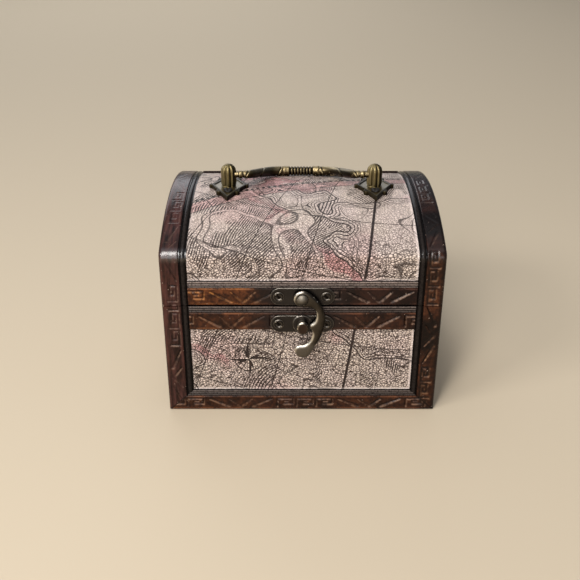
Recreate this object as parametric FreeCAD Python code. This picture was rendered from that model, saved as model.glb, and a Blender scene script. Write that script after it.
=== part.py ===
import FreeCAD
import Part
import math
import os

V = FreeCAD.Vector

# Treasure chest box, in millimetres. The origin is at the centre of the underside,
# +Z is up and the front faces -Y.
# Every piece is built where it sits with the lid shut, the hook on its stud and the bail folded back.

# Whole chest, over the trim
chest_width = 128.0
chest_depth = 104.5
base_height = 57.4
seam_gap = 0.4
lid_side_height = 25.8
lid_rise = 11.3

# Wood, covers and linings
wall_board = 5.0
bottom_board = 4.0
top_panel = 3.0
map_sheet = 0.6
lining_sheet = 0.6
lining_setback = 0.4
underside_sheet = 0.8

# Trim strips: thickness, and the moulding across a corner strip from its outer edge
trim = 1.8
strip_width = 12.2
strip_round = 1.5
strip_groove_width = 0.6
strip_groove_depth = 0.7
strip_bead_width = 2.4
strip_bead_drop = 0.15
strip_lip_width = 0.5
strip_lip_drop = 0.8

# Rails between the strips: heights, and the reeds along their upper edge
lid_rail_height = 12.3
base_rail_height = 12.6
bottom_rail_height = 11.4
rail_round = 1.2
reed_count = 3
reed_width = 1.15
reed_valley_drop = 0.55
reed_crest_drop = 0.1

# Strip over the lid's rear edge
edge_strip_on_arch = 11.5
edge_strip_on_back = 6.0
edge_groove_setback = 3.0

# Latch: two plates, a swinging hook on a rivet, and the stud that it catches
latch_plate_width = 29.0
latch_plate_height = 8.6
latch_plate_thickness = 1.0
latch_plate_above_seam = 5.4
keeper_plate_below_seam = 8.8
latch_screw_spacing = 21.6
boss_radius = 4.6
boss_thickness = 0.5
hook_reach = 10.3
hook_drop = 30.7
hook_thickness = 2.4
hook_lobe_shares = [(-0.257, -0.086), (-0.257, 0.086), (0.182, 0.106)]
hook_back_shares = [(0.74, -0.085), (1.0, -0.358), (0.82, -0.612), (0.485, -0.831)]
hook_foot_shares = [(0.35, -0.932), (0.03, -1.0), (-0.301, -0.879), (-0.31, -0.83), (-0.184, -0.805)]
hook_throat_shares = [(0.097, -0.798), (0.4, -0.7), (0.495, -0.577), (0.43, -0.505), (0.301, -0.446)]
hook_window_shares = [(0.524, -0.401), (0.65, -0.257), (0.585, -0.17), (0.42, -0.13), (0.0, -0.122)]
hook_lobe_return_share = (-0.14, -0.115)
rivet_radius = 1.5
rivet_head_radius = 2.6
rivet_head_height = 1.3
stud_radius = 2.7
stud_offset = 0.2
stud_proud = 3.9
stud_round = 0.6
stud_tail_radius = 1.4

# Countersunk screws of the latch and the hinges
screw_head_radius = 1.9
screw_shank_radius = 0.8
screw_head_depth = 0.7
screw_bite = 3.0
slot_width = 0.45
slot_depth = 0.35

# Handle: two fluted posts on lozenge plates, and the turned bail between them
handle_inset = 16.3
handle_offset = 2.2
plate_length = 29.8
plate_width = 19.6
plate_thickness = 2.0
plate_rim = 1.7
plate_pocket = 0.6
plate_lobe_radius = 1.5
plate_ball_radius = 0.95
post_radius = 3.45
post_height = 10.4
post_flutes = 8
flute_depth = 0.45
post_dome_shares = [(0.0, 1.0), (0.35, 0.937), (0.62, 0.785), (0.82, 0.572), (0.94, 0.341), (1.0, 0.09)]
bail_axis_above_plate = 4.9
handle_screw_spacing = 14.2
handle_screw_head_radius = 2.1
handle_screw_head_height = 0.9
handle_screw_shank_radius = 1.0
handle_screw_bite = 2.4
bail_reach = 25.0
bail_rod_radius = 1.15
bail_pivot_depth = 2.3
bail_collar_radius = 1.6
bail_arm_radius = 1.85
bail_grip_radius = 2.25
bail_clearance = 0.3
bail_bend_setback = 5.75
bail_bend_radius = 7.0
bail_shoulder_setback = 17.55
bail_shoulder_radius = 13.0
bail_collar_from_post = 1.4
bail_collar_width = 1.9
bail_arm_length = 8.6
bail_grip_groove_setback = 4.2
bail_step = 0.45
bead_count = 7
bead_pitch = 1.55
bead_groove_depth = 0.5

# Hinges on the back
hinge_width = 20.0
hinge_leaf_height = 10.0
hinge_leaf_thickness = 0.8
hinge_inset = 7.8
knuckle_radius = 1.6
knuckle_count = 3
knuckle_gap = 0.2
pin_radius = 0.8
pin_head_radius = 1.25
pin_head_length = 0.5
hinge_screw_spacing = 11.0
hinge_screw_from_axis = 6.0

# Clearances
pin_clearance = 0.05
swing_clearance = 0.3
cut_overrun = 5.0
same_point = 1e-6

# Positions that follow from the sizes
half_width = chest_width / 2
half_depth = chest_depth / 2
lid_bottom = base_height + seam_gap
seam_height = base_height + seam_gap / 2
spring_height = lid_bottom + lid_side_height
arch_radius = (half_depth**2 + lid_rise**2) / (2 * lid_rise)
crest_height = spring_height + lid_rise
arch_centre = crest_height - arch_radius
map_depth = trim - map_sheet
body_half_width = half_width - trim
body_half_depth = half_depth - trim
room_half_width = body_half_width - wall_board
room_half_depth = body_half_depth - wall_board
strip_inner = half_width - strip_width
strip_inner_depth = half_depth - strip_width
handle_spacing = 2 * (strip_inner - handle_inset)
hinge_spacing = 2 * (strip_inner - hinge_inset) - hinge_width
lid_rail_top = lid_bottom + lid_rail_height
base_rail_bottom = base_height - base_rail_height
ceiling_inset = trim + top_panel
far = chest_width + chest_depth + crest_height

parts = {}


def box(x0, x1, y0, y1, z0, z1):
    """A block between two corners."""
    return Part.makeBox(x1 - x0, y1 - y0, z1 - z0, V(x0, y0, z0))


def rod(radius, start, direction, length):
    """A cylinder from a start point."""
    return Part.makeCylinder(radius, length, start, direction)


def fused(shapes):
    """One solid from overlapping shapes."""
    whole = shapes[0].fuse(shapes[1:]) if len(shapes) > 1 else shapes[0]
    return whole.removeSplitter()


def less(shape, tools):
    """A shape with tools cut out of it."""
    return shape.cut(tools) if tools else shape


def outline(steps):
    """A closed wire: each step is a point to go straight to, or a middle point and an end point of an arc."""
    edges = []
    here = steps[0]
    for step in steps[1:]:
        if isinstance(step, tuple):
            edges.append(Part.Arc(here, step[0], step[1]).toShape())
            here = step[1]
        else:
            edges.append(Part.makeLine(here, step))
            here = step
    if not here.isEqual(steps[0], same_point):
        edges.append(Part.makeLine(here, steps[0]))
    return Part.Wire(edges)


def lid_wire(inset, x, low):
    """The lid's end outline, moved in by an inset: two upright sides and the arch between them."""
    side = half_depth - inset
    radius = arch_radius - inset
    spring = arch_centre + math.sqrt(radius**2 - side**2)
    return outline([
        V(x, -side, low), V(x, -side, spring),
        (V(x, 0, arch_centre + radius), V(x, side, spring)),
        V(x, side, low),
    ])


def lid_block(inset, x0, x1, low):
    """A solid with the lid's outline, between two distances across the chest."""
    return Part.Face(lid_wire(inset, x0, low)).extrude(V(x1 - x0, 0, 0))


def lid_shell(outer, inner, x0, x1, low):
    """The layer of the lid between two insets."""
    layer = lid_block(outer, x0, x1, low)
    return layer.cut(lid_block(inner, x0 - cut_overrun, x1 + cut_overrun, low - cut_overrun))


def mirrored_x(shape):
    """A copy on the other side of the chest."""
    return shape.mirror(V(0, 0, 0), V(1, 0, 0))


def mirrored_y(shape):
    """A copy on the other face of the chest."""
    return shape.mirror(V(0, 0, 0), V(0, 1, 0))


# Boards of the base
base_floor = underside_sheet
parts["bottom_board"] = box(
    -room_half_width, room_half_width, -room_half_depth, room_half_depth,
    base_floor, base_floor + bottom_board,
)
front_board = box(
    -room_half_width, room_half_width, -body_half_depth, -room_half_depth, base_floor, base_height
)
left_board = box(
    -body_half_width, -room_half_width, -body_half_depth, body_half_depth, base_floor, base_height
)
parts["front_board"] = front_board
parts["back_board"] = mirrored_y(front_board)
parts["left_board"] = left_board
parts["right_board"] = mirrored_x(left_board)
parts["underside_cover"] = box(
    -body_half_width, body_half_width, -body_half_depth, body_half_depth, 0, underside_sheet
)

# Linings of the base
floor_top = base_floor + bottom_board
parts["floor_lining"] = box(
    -room_half_width, room_half_width, -room_half_depth, room_half_depth, floor_top, floor_top + lining_sheet
)
lined_half_width = room_half_width - lining_sheet
lined_half_depth = room_half_depth - lining_sheet
wall_lining = box(
    -room_half_width, room_half_width, -room_half_depth, room_half_depth,
    floor_top + lining_sheet, base_height - lining_setback,
)
parts["wall_lining"] = wall_lining.cut(box(
    -lined_half_width, lined_half_width, -lined_half_depth, lined_half_depth, floor_top, base_height
))

# Map covers of the base, in the fields between the trim
front_map = box(
    -strip_inner, strip_inner, -half_depth + map_depth, -body_half_depth, bottom_rail_height, base_rail_bottom
)
left_map = box(
    -half_width + map_depth, -body_half_width, -strip_inner_depth, strip_inner_depth,
    bottom_rail_height, base_rail_bottom,
)
parts["front_map"] = front_map
parts["back_map"] = mirrored_y(front_map)
parts["left_map"] = left_map
parts["right_map"] = mirrored_x(left_map)

# Corner strip moulding: distance from the outer edge, and depth below the chest's outer face
round_corner = strip_round * (1 - math.sqrt(2) / 2)
groove_start = strip_width - strip_lip_width - strip_bead_width - strip_groove_width
groove_end = groove_start + strip_groove_width
bead_end = strip_width - strip_lip_width
bead_middle = (groove_end + bead_end) / 2


def strip_steps(place):
    """The strip's moulding from its rounded edge inwards, each point set by a place function."""
    return [
        place(groove_start, 0),
        place(groove_start, strip_groove_depth),
        place(groove_end, strip_groove_depth),
        (place(bead_middle, strip_bead_drop), place(bead_end, strip_lip_drop)),
        place(strip_width, strip_lip_drop),
    ]


def corner_strip(low, high):
    """An upright strip with two legs around the front left corner."""
    def on_front(along, deep):
        return V(-half_width + along, -half_depth + deep, low)

    def on_side(along, deep):
        return V(-half_width + deep, -half_depth + along, low)

    side = [
        on_side(strip_width, strip_lip_drop), on_side(bead_end, strip_lip_drop),
        (on_side(bead_middle, strip_bead_drop), on_side(groove_end, strip_groove_depth)),
        on_side(groove_start, strip_groove_depth), on_side(groove_start, 0), on_side(strip_round, 0),
    ]
    corner = [(V(-half_width + round_corner, -half_depth + round_corner, low), on_front(strip_round, 0))]
    back = [on_front(strip_width, trim), on_front(trim, trim), on_side(strip_width, trim)]
    wire = outline(side + corner + strip_steps(on_front) + back)
    return Part.Face(wire).extrude(V(0, 0, high - low))


def mitre_prism(points, direction):
    """A prism from a list of points, for cutting mitres."""
    return Part.Face(outline(points)).extrude(direction)


# Base corner strips, mitred to the bottom rails
base_corner = corner_strip(0, base_height)
past_share = 2.0
mitre_run = strip_width * past_share
mitre_rise = bottom_rail_height * past_share
front_mitre = mitre_prism(
    [
        V(-half_width, -half_depth - cut_overrun, 0),
        V(-half_width + mitre_run, -half_depth - cut_overrun, mitre_rise),
        V(-half_width + mitre_run, -half_depth - cut_overrun, -cut_overrun),
        V(-half_width, -half_depth - cut_overrun, -cut_overrun),
    ],
    V(0, cut_overrun + trim, 0),
)
side_mitre = mitre_prism(
    [
        V(-half_width - cut_overrun, -half_depth, 0),
        V(-half_width - cut_overrun, -half_depth + mitre_run, mitre_rise),
        V(-half_width - cut_overrun, -half_depth + mitre_run, -cut_overrun),
        V(-half_width - cut_overrun, -half_depth, -cut_overrun),
    ],
    V(cut_overrun + trim, 0, 0),
)
corner_front_left = base_corner.cut([front_mitre, side_mitre])
parts["corner_front_left"] = corner_front_left
parts["corner_front_right"] = mirrored_x(corner_front_left)
parts["corner_back_left"] = mirrored_y(corner_front_left)
parts["corner_back_right"] = mirrored_y(mirrored_x(corner_front_left))


def rail_steps(low, height, place):
    """A rail's moulding from its lower edge up: rounded edge, flat field, then reeds under the upper edge."""
    round_middle = rail_round * (1 - math.sqrt(2) / 2)
    reeds_start = low + height - reed_count * reed_width
    steps = [
        place(low, trim), place(low, rail_round),
        (place(low + round_middle, round_middle), place(low + rail_round, 0)),
        place(reeds_start, 0), place(reeds_start, reed_valley_drop),
    ]
    for number in range(reed_count):
        middle = reeds_start + (number + 1 / 2) * reed_width
        end = reeds_start + (number + 1) * reed_width
        steps.append((place(middle, reed_crest_drop), place(end, reed_valley_drop)))
    steps.append(place(low + height, trim))
    return steps


def front_rail(low, height, half_length):
    """A rail along the front."""
    def place(up, deep):
        return V(-half_length, -half_depth + deep, up)

    return Part.Face(outline(rail_steps(low, height, place))).extrude(V(2 * half_length, 0, 0))


def left_rail(low, height, half_length):
    """A rail along the left end."""
    def place(up, deep):
        return V(-half_width + deep, -half_length, up)

    return Part.Face(outline(rail_steps(low, height, place))).extrude(V(0, 2 * half_length, 0))


# Bottom rails, mitred into each other and into the corner strips
above_front = mitre_prism(
    [
        V(-half_width, -half_depth - cut_overrun, 0),
        V(-half_width + mitre_run, -half_depth - cut_overrun, mitre_rise),
        V(-half_width - cut_overrun, -half_depth - cut_overrun, mitre_rise),
        V(-half_width - cut_overrun, -half_depth - cut_overrun, 0),
    ],
    V(0, cut_overrun + strip_width, 0),
)
above_side = mitre_prism(
    [
        V(-half_width - cut_overrun, -half_depth, 0),
        V(-half_width - cut_overrun, -half_depth + mitre_run, mitre_rise),
        V(-half_width - cut_overrun, -half_depth - cut_overrun, mitre_rise),
        V(-half_width - cut_overrun, -half_depth - cut_overrun, 0),
    ],
    V(cut_overrun + strip_width, 0, 0),
)
plan_beyond_front = mitre_prism(
    [
        V(-half_width - cut_overrun, -half_depth - cut_overrun, -cut_overrun),
        V(-half_width + mitre_run, -half_depth + mitre_run, -cut_overrun),
        V(-half_width - cut_overrun, -half_depth + mitre_run, -cut_overrun),
    ],
    V(0, 0, mitre_rise + cut_overrun),
)
plan_beyond_side = mitre_prism(
    [
        V(-half_width - cut_overrun, -half_depth - cut_overrun, -cut_overrun),
        V(-half_width + mitre_run, -half_depth + mitre_run, -cut_overrun),
        V(-half_width + mitre_run, -half_depth - cut_overrun, -cut_overrun),
    ],
    V(0, 0, mitre_rise + cut_overrun),
)
bottom_front = front_rail(0, bottom_rail_height, half_width)
front_cuts = [above_front, plan_beyond_front]
bottom_front = bottom_front.cut(front_cuts + [mirrored_x(tool) for tool in front_cuts])
bottom_left = left_rail(0, bottom_rail_height, half_depth)
side_cuts = [above_side, plan_beyond_side]
bottom_left = bottom_left.cut(side_cuts + [mirrored_y(tool) for tool in side_cuts])
parts["bottom_rail_front"] = bottom_front
parts["bottom_rail_back"] = mirrored_y(bottom_front)
parts["bottom_rail_left"] = bottom_left
parts["bottom_rail_right"] = mirrored_x(bottom_left)

# Top rails of the base, and the lid's rails, butted between the strips
top_front = front_rail(base_rail_bottom, base_rail_height, strip_inner)
top_left = left_rail(base_rail_bottom, base_rail_height, strip_inner_depth)
parts["top_rail_front"] = top_front
parts["top_rail_back"] = mirrored_y(top_front)
parts["top_rail_left"] = top_left
parts["top_rail_right"] = mirrored_x(top_left)
lid_front = front_rail(lid_bottom, lid_rail_height, strip_inner)
lid_left = left_rail(lid_bottom, lid_rail_height, strip_inner_depth)
parts["lid_rail_front"] = lid_front
parts["lid_rail_back"] = mirrored_y(lid_front)
parts["lid_rail_left"] = lid_left
parts["lid_rail_right"] = mirrored_x(lid_left)

# Boards of the lid under its bent top panel
under_arch = rod(arch_radius - ceiling_inset, V(-far, 0, arch_centre), V(1, 0, 0), 2 * far)
lid_front_board = box(
    -room_half_width, room_half_width, -body_half_depth, -room_half_depth, lid_bottom, crest_height
).common(under_arch)
lid_left_end = box(
    -body_half_width, -room_half_width, -body_half_depth, body_half_depth, lid_bottom, crest_height
).common(under_arch)
parts["lid_front_board"] = lid_front_board
parts["lid_back_board"] = mirrored_y(lid_front_board)
parts["lid_left_end"] = lid_left_end
parts["lid_right_end"] = mirrored_x(lid_left_end)
over_arch = rod(arch_radius - trim, V(-far, 0, arch_centre), V(1, 0, 0), 2 * far).cut(under_arch)
parts["lid_top_panel"] = box(
    -body_half_width, body_half_width, -body_half_depth, body_half_depth, lid_bottom, crest_height
).common(over_arch)

# Lining of the lid: one sheet over the walls and the ceiling
lined_arch = rod(arch_radius - ceiling_inset - lining_sheet, V(-far, 0, arch_centre), V(1, 0, 0), 2 * far)
lid_room = box(
    -room_half_width, room_half_width, -room_half_depth, room_half_depth,
    lid_bottom + lining_setback, crest_height,
).common(under_arch)
lid_clear = box(
    -lined_half_width, lined_half_width, -lined_half_depth, lined_half_depth, lid_bottom, crest_height
).common(lined_arch)
parts["lid_lining"] = lid_room.cut(lid_clear)

# Map covers of the lid
cover = lid_shell(map_depth, trim, -strip_inner, strip_inner, lid_rail_top)
parts["lid_map"] = cover
lid_left_map = lid_block(strip_width, -half_width + map_depth, -body_half_width, lid_rail_top)
parts["lid_left_map"] = lid_left_map
parts["lid_right_map"] = mirrored_x(lid_left_map)

# Lid bands: one strip around each end, over the arch, with the corner strip's moulding
upright_wire = outline(
    [V(-half_width, -half_depth + strip_round, lid_bottom),
     (V(-half_width + round_corner, -half_depth + round_corner, lid_bottom),
      V(-half_width + strip_round, -half_depth, lid_bottom))]
    + strip_steps(lambda along, deep: V(-half_width + along, -half_depth + deep, lid_bottom))
    + [V(strip_width - half_width, 0, lid_bottom), V(-half_width, 0, lid_bottom)]
)
front_upright = Part.Face(upright_wire).extrude(V(0, 0, crest_height - lid_bottom))
upright = fused([front_upright, mirrored_y(front_upright)])
turned_wire = outline(
    [V(-half_width, 0, crest_height - strip_round),
     (V(-half_width + round_corner, 0, crest_height - round_corner),
      V(-half_width + strip_round, 0, crest_height))]
    + strip_steps(lambda along, deep: V(-half_width + along, 0, crest_height - deep))
    + [V(strip_width - half_width, 0, arch_centre), V(-half_width, 0, arch_centre)]
)
full_turn = 360
turned = Part.Face(turned_wire).revolve(V(0, 0, arch_centre), V(1, 0, 0), full_turn)
band = upright.common(turned)
band = band.cut([
    lid_block(trim, -body_half_width, half_width, lid_bottom - cut_overrun),
    lid_block(strip_width, -half_width - cut_overrun, half_width, lid_bottom - cut_overrun),
])
side_groove = lid_shell(
    groove_start, groove_end, -half_width - cut_overrun, -half_width + strip_groove_depth,
    lid_bottom - cut_overrun,
)
band = band.cut(side_groove)
parts["lid_band_left"] = band
parts["lid_band_right"] = mirrored_x(band)

# Strip over the lid's rear edge, laid on the map cover
edge_zone = box(
    -strip_inner, strip_inner, half_depth - edge_strip_on_arch, half_depth + cut_overrun,
    spring_height - edge_strip_on_back, crest_height,
)
edge_strip = lid_shell(0, map_depth, -strip_inner, strip_inner, lid_bottom).common(edge_zone)
edge_groove_front = half_depth - edge_strip_on_arch + edge_groove_setback
edge_groove = lid_shell(0, strip_groove_depth, -far, far, lid_bottom).common(box(
    -far, far, edge_groove_front, edge_groove_front + strip_groove_width, spring_height, crest_height
))
parts["lid_edge_strip"] = edge_strip.cut(edge_groove)


def countersunk(face_point, outward, length):
    """A countersunk screw whose head is flush with a face, from that face inwards."""
    inward = outward * -1
    head = Part.makeCone(screw_head_radius, screw_shank_radius, screw_head_depth, face_point, inward)
    return fused([head, rod(screw_shank_radius, face_point, inward, length)])


def slotted(screw, face_point, outward, slot_along):
    """The screw with its slot cut."""
    across = outward.cross(slot_along)
    reach = screw_head_radius * past_share
    corner = face_point - slot_along * reach - across * (slot_width / 2) - outward * slot_depth
    wire = Part.makePolygon([
        corner, corner + slot_along * (2 * reach), corner + slot_along * (2 * reach) + across * slot_width,
        corner + across * slot_width, corner,
    ])
    return screw.cut(Part.Face(wire).extrude(outward * (slot_depth + cut_overrun)))


# Latch plates on the front rails
latch_screw_length = latch_plate_thickness + trim + screw_bite
plate_face = -half_depth - latch_plate_thickness
latch_height = seam_height + latch_plate_above_seam
keeper_height = seam_height - keeper_plate_below_seam
plate_end = latch_plate_height / 2
plate_straight = latch_plate_width / 2 - plate_end


def latch_plate(height):
    """A plate with round ends, lying on the front."""
    y = -half_depth
    wire = outline([
        V(-plate_straight, y, height - plate_end), V(plate_straight, y, height - plate_end),
        (V(plate_straight + plate_end, y, height), V(plate_straight, y, height + plate_end)),
        V(-plate_straight, y, height + plate_end),
        (V(-plate_straight - plate_end, y, height), V(-plate_straight, y, height - plate_end)),
    ])
    return Part.Face(wire).extrude(V(0, -latch_plate_thickness, 0))


front_out = V(0, -1, 0)
back_out = V(0, 1, 0)
across = V(1, 0, 0)
up = V(0, 0, 1)
holes = {name: [] for name in parts}


def front_screws(height):
    """The two screws of a latch plate, before and after their slots are cut."""
    whole = []
    done = []
    for side in (-1, 1):
        at = V(side * latch_screw_spacing / 2, plate_face, height)
        screw = countersunk(at, front_out, latch_screw_length)
        whole.append(screw)
        done.append(slotted(screw, at, front_out, (across + up * side).normalize()))
    return whole, done


# Upper plate with the rivet that the hook turns on
latch_whole, latch_done = front_screws(latch_height)
hook_back = plate_face - boss_thickness - swing_clearance
hook_front = hook_back - hook_thickness
rivet_seat = hook_front - swing_clearance
rivet_at = V(0, rivet_seat, latch_height)
rivet_shaft = rod(rivet_radius, rivet_at, back_out, -rivet_seat - half_depth + trim + screw_bite)
dome_radius = (rivet_head_radius**2 + rivet_head_height**2) / (2 * rivet_head_height)
dome = Part.makeSphere(dome_radius, V(0, rivet_seat - rivet_head_height + dome_radius, latch_height))
dome = dome.common(rod(rivet_head_radius, rivet_at, front_out, rivet_head_height + cut_overrun))
parts["latch_rivet"] = fused([rivet_shaft, dome])
parts["latch_plate"] = less(latch_plate(latch_height), latch_whole + [rivet_shaft])
parts["latch_screws"] = Part.makeCompound(latch_done)
for name in ("lid_rail_front", "lid_front_board"):
    holes[name] += latch_whole + [rivet_shaft]

# Lower plate with the stud that the hook catches
keeper_whole, keeper_done = front_screws(keeper_height)
stud_foot = plate_face - boss_thickness
stud_end = plate_face - stud_proud
stud_at = V(stud_offset, stud_foot, keeper_height)
stud_tail = rod(stud_tail_radius, stud_at, back_out, boss_thickness + latch_screw_length)
stud_profile = outline([
    V(stud_offset, stud_foot, keeper_height),
    V(stud_offset + stud_radius, stud_foot, keeper_height),
    V(stud_offset + stud_radius, stud_end + stud_round, keeper_height),
    V(stud_offset + stud_radius - stud_round, stud_end, keeper_height),
    V(stud_offset, stud_end, keeper_height),
])
stud_head = Part.Face(stud_profile).revolve(stud_at, back_out, full_turn)
parts["keeper_stud"] = fused([stud_head, stud_tail])
boss_at = V(stud_offset, -half_depth, keeper_height)
boss = rod(boss_radius, boss_at, front_out, latch_plate_thickness + boss_thickness)
parts["keeper_plate"] = less(fused([latch_plate(keeper_height), boss]), keeper_whole + [stud_tail])
parts["keeper_screws"] = Part.makeCompound(keeper_done)
for name in ("top_rail_front", "front_board"):
    holes[name] += keeper_whole + [stud_tail]


# Hook: a thick swung shape with a tooth beside the stud and a foot under it
def hook_point(share):
    """A point of the hook's outline, as shares of its reach and drop from the rivet."""
    return V(share[0] * hook_reach, hook_back, latch_height + share[1] * hook_drop)


lobe = [hook_point(share) for share in hook_lobe_shares]
spine = [hook_point(share) for share in hook_back_shares]
foot = [hook_point(share) for share in hook_foot_shares]
throat = [hook_point(share) for share in hook_throat_shares]
window = [hook_point(share) for share in hook_window_shares]
hook_wire = outline([
    lobe[0], (lobe[1], lobe[2]),
    (spine[0], spine[1]), (spine[2], spine[3]),
    foot[0], (foot[1], foot[2]), (foot[3], foot[4]),
    throat[0], (throat[1], throat[2]), (throat[3], throat[4]),
    (window[0], window[1]), (window[2], window[3]), window[4],
    (hook_point(hook_lobe_return_share), lobe[0]),
])
hook = Part.Face(hook_wire).extrude(V(0, -hook_thickness, 0))
hook_hole = rod(
    rivet_radius + pin_clearance, V(0, hook_back + cut_overrun, latch_height), front_out,
    hook_thickness + 2 * cut_overrun,
)
parts["hook"] = hook.cut(hook_hole)

# Handle posts on their plates, bent to the lid's arch
cover_radius = arch_radius - map_depth
arch_axis = V(-far, 0, arch_centre)
on_cover = rod(cover_radius, arch_axis, across, 2 * far)
plate_outer = rod(cover_radius + plate_thickness, arch_axis, across, 2 * far)
plate_inner = rod(cover_radius + plate_thickness - plate_pocket, arch_axis, across, 2 * far)
handle_x = -handle_spacing / 2
cover_at_handle = arch_centre + math.sqrt(cover_radius**2 - handle_offset**2)
plate_top = cover_at_handle + plate_thickness
bail_axis_height = plate_top + bail_axis_above_plate
plate_low = arch_centre + cover_radius - plate_length / 2


def lozenge(half_x, half_y):
    """An upright prism with a lozenge plan at the left handle post."""
    wire = outline([
        V(handle_x - half_x, handle_offset, plate_low), V(handle_x, handle_offset - half_y, plate_low),
        V(handle_x + half_x, handle_offset, plate_low), V(handle_x, handle_offset + half_y, plate_low),
    ])
    return Part.Face(wire).extrude(V(0, 0, plate_length))


def plan_disc(radius, x, y):
    """An upright prism with a round plan."""
    return rod(radius, V(x, y, plate_low), up, plate_length)


lobes = []
for side_x in (-1, 1):
    lobes.append(plan_disc(plate_ball_radius, handle_x + side_x * plate_width / 2, handle_offset))
    for side_y in (-1, 1):
        lobes.append(plan_disc(
            plate_lobe_radius, handle_x + side_x * plate_width / 4, handle_offset + side_y * plate_length / 4
        ))
rim_ratio = plate_length / plate_width
plate_plan = fused([lozenge(plate_width / 2, plate_length / 2)] + lobes)
handle_plate = plate_plan.common(plate_outer.cut(on_cover))
pocket_plan = lozenge(plate_width / 2 - plate_rim, plate_length / 2 - plate_rim * rim_ratio)
handle_plate = handle_plate.cut(pocket_plan.common(plate_outer.cut(plate_inner)))


def post_point(radius, angle, height):
    """A point around the left post's axis."""
    return V(handle_x + radius * math.cos(angle), handle_offset + radius * math.sin(angle), height)


def fluted_wire(radius, height):
    """A ring of outward arcs around the left post, with a crest to the front."""
    steps = []
    turn = 2 * math.pi / post_flutes
    front = -math.pi / 2
    valley = radius - flute_depth * radius / post_radius
    for number in range(post_flutes):
        crest = front + number * turn
        middle = post_point(radius, crest, height)
        last = post_point(valley, crest + turn / 2, height)
        steps.append((middle, last))
    return outline([post_point(valley, front - turn / 2, height)] + steps)


post_bottom = plate_top - plate_thickness / 2
dome_start = plate_top + post_height - post_radius
post_wires = [fluted_wire(post_radius, post_bottom)]
for rise_share, radius_share in post_dome_shares:
    post_wires.append(fluted_wire(post_radius * radius_share, dome_start + post_radius * rise_share))
post = Part.makeLoft(post_wires, True, True)
bail_half = handle_spacing / 2 - post_radius
bore_start = V(handle_x + post_radius - bail_pivot_depth - swing_clearance, handle_offset, bail_axis_height)
bail_bore = rod(bail_rod_radius + pin_clearance, bore_start, across, post_radius + cut_overrun)
handle_post = fused([handle_plate, post]).cut(bail_bore)

# Screws of the handle, standing on the plate's sunk field
handle_whole = []
handle_done = []
sunk_radius = cover_radius + plate_thickness - plate_pocket
for side in (-1, 1):
    screw_y = handle_offset + side * handle_screw_spacing / 2
    seat = arch_centre + math.sqrt(sunk_radius**2 - screw_y**2)
    shank_length = plate_thickness + map_sheet + handle_screw_bite
    shank_top = V(handle_x, screw_y, seat + handle_screw_head_height / 2)
    shank = rod(handle_screw_shank_radius, shank_top, up * -1, shank_length)
    bulge = (handle_screw_head_radius**2 + handle_screw_head_height**2) / (2 * handle_screw_head_height)
    head = Part.makeSphere(bulge, V(handle_x, screw_y, seat + handle_screw_head_height - bulge))
    head_low = V(handle_x, screw_y, seat - handle_screw_head_height)
    head = head.common(rod(handle_screw_head_radius, head_low, up, handle_screw_head_height * past_share))
    head = head.cut(rod(sunk_radius, arch_axis, across, 2 * far))
    screw = fused([head, shank])
    slot_at = V(handle_x, screw_y, seat + handle_screw_head_height)
    handle_whole.append(shank)
    handle_done.append(slotted(screw, slot_at, up, (across + back_out * side).normalize()))
handle_post = handle_post.cut(handle_whole)
parts["handle_post_left"] = handle_post
parts["handle_post_right"] = mirrored_x(handle_post)
parts["handle_screws"] = Part.makeCompound(handle_done + [mirrored_x(screw) for screw in handle_done])
handle_holes = handle_whole + [mirrored_x(shank) for shank in handle_whole]
for name in ("lid_map", "lid_top_panel"):
    holes[name] += handle_holes

# Bail: the right half of its centre line in its own plane, straight runs joined by arcs,
# and the sections along it
bail_corners = [
    V(bail_half + bail_pivot_depth, 0, 0),
    V(bail_half - bail_bend_setback, 0, 0),
    V(bail_half - bail_shoulder_setback, bail_reach, 0),
    V(0, bail_reach, 0),
]


def rounded_path(corners, radii):
    """Straight runs and tangent arcs, each as its edge, through corners."""
    edges = []
    here = corners[0]
    for before, corner, after, radius in zip(corners, corners[1:], corners[2:], radii):
        arriving = (corner - before).normalize()
        leaving = (after - corner).normalize()
        half_turn = arriving.getAngle(leaving) / 2
        tangent = radius * math.tan(half_turn)
        start = corner - arriving * tangent
        end = corner + leaving * tangent
        middle = corner + (leaving - arriving).normalize() * (radius / math.cos(half_turn) - radius)
        edges.append(Part.makeLine(here, start))
        edges.append(Part.Arc(start, middle, end).toShape())
        here = end
    edges.append(Part.makeLine(here, corners[-1]))
    return edges


bail_edges = rounded_path(bail_corners, [bail_bend_radius, bail_shoulder_radius])
half_length = sum(edge.Length for edge in bail_edges)
collar_start = bail_pivot_depth + bail_collar_from_post
collar_end = collar_start + bail_collar_width
grip_start = collar_end + 2 * bail_step + bail_arm_length
grip_end = half_length - bead_count * bead_pitch / 2
grip_groove = grip_end - bail_grip_groove_setback
groove_radius = bail_grip_radius - bead_groove_depth
bail_turning = [
    (0, bail_rod_radius),
    (collar_start, bail_rod_radius),
    (collar_start + bail_step, bail_collar_radius),
    (collar_end - bail_step, bail_collar_radius),
    (collar_end, bail_rod_radius),
    (collar_end + bail_step, bail_rod_radius),
    (collar_end + 2 * bail_step, bail_collar_radius),
    (grip_start, bail_arm_radius),
    (grip_start + bail_step, groove_radius),
    (grip_start + 2 * bail_step, bail_arm_radius),
    (grip_groove - bail_step, bail_grip_radius),
    (grip_groove, groove_radius),
    (grip_groove + bail_step, bail_grip_radius),
    (grip_end - bail_step, bail_grip_radius),
    (grip_end, groove_radius),
]
path_step = bail_bend_radius / 4


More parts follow.
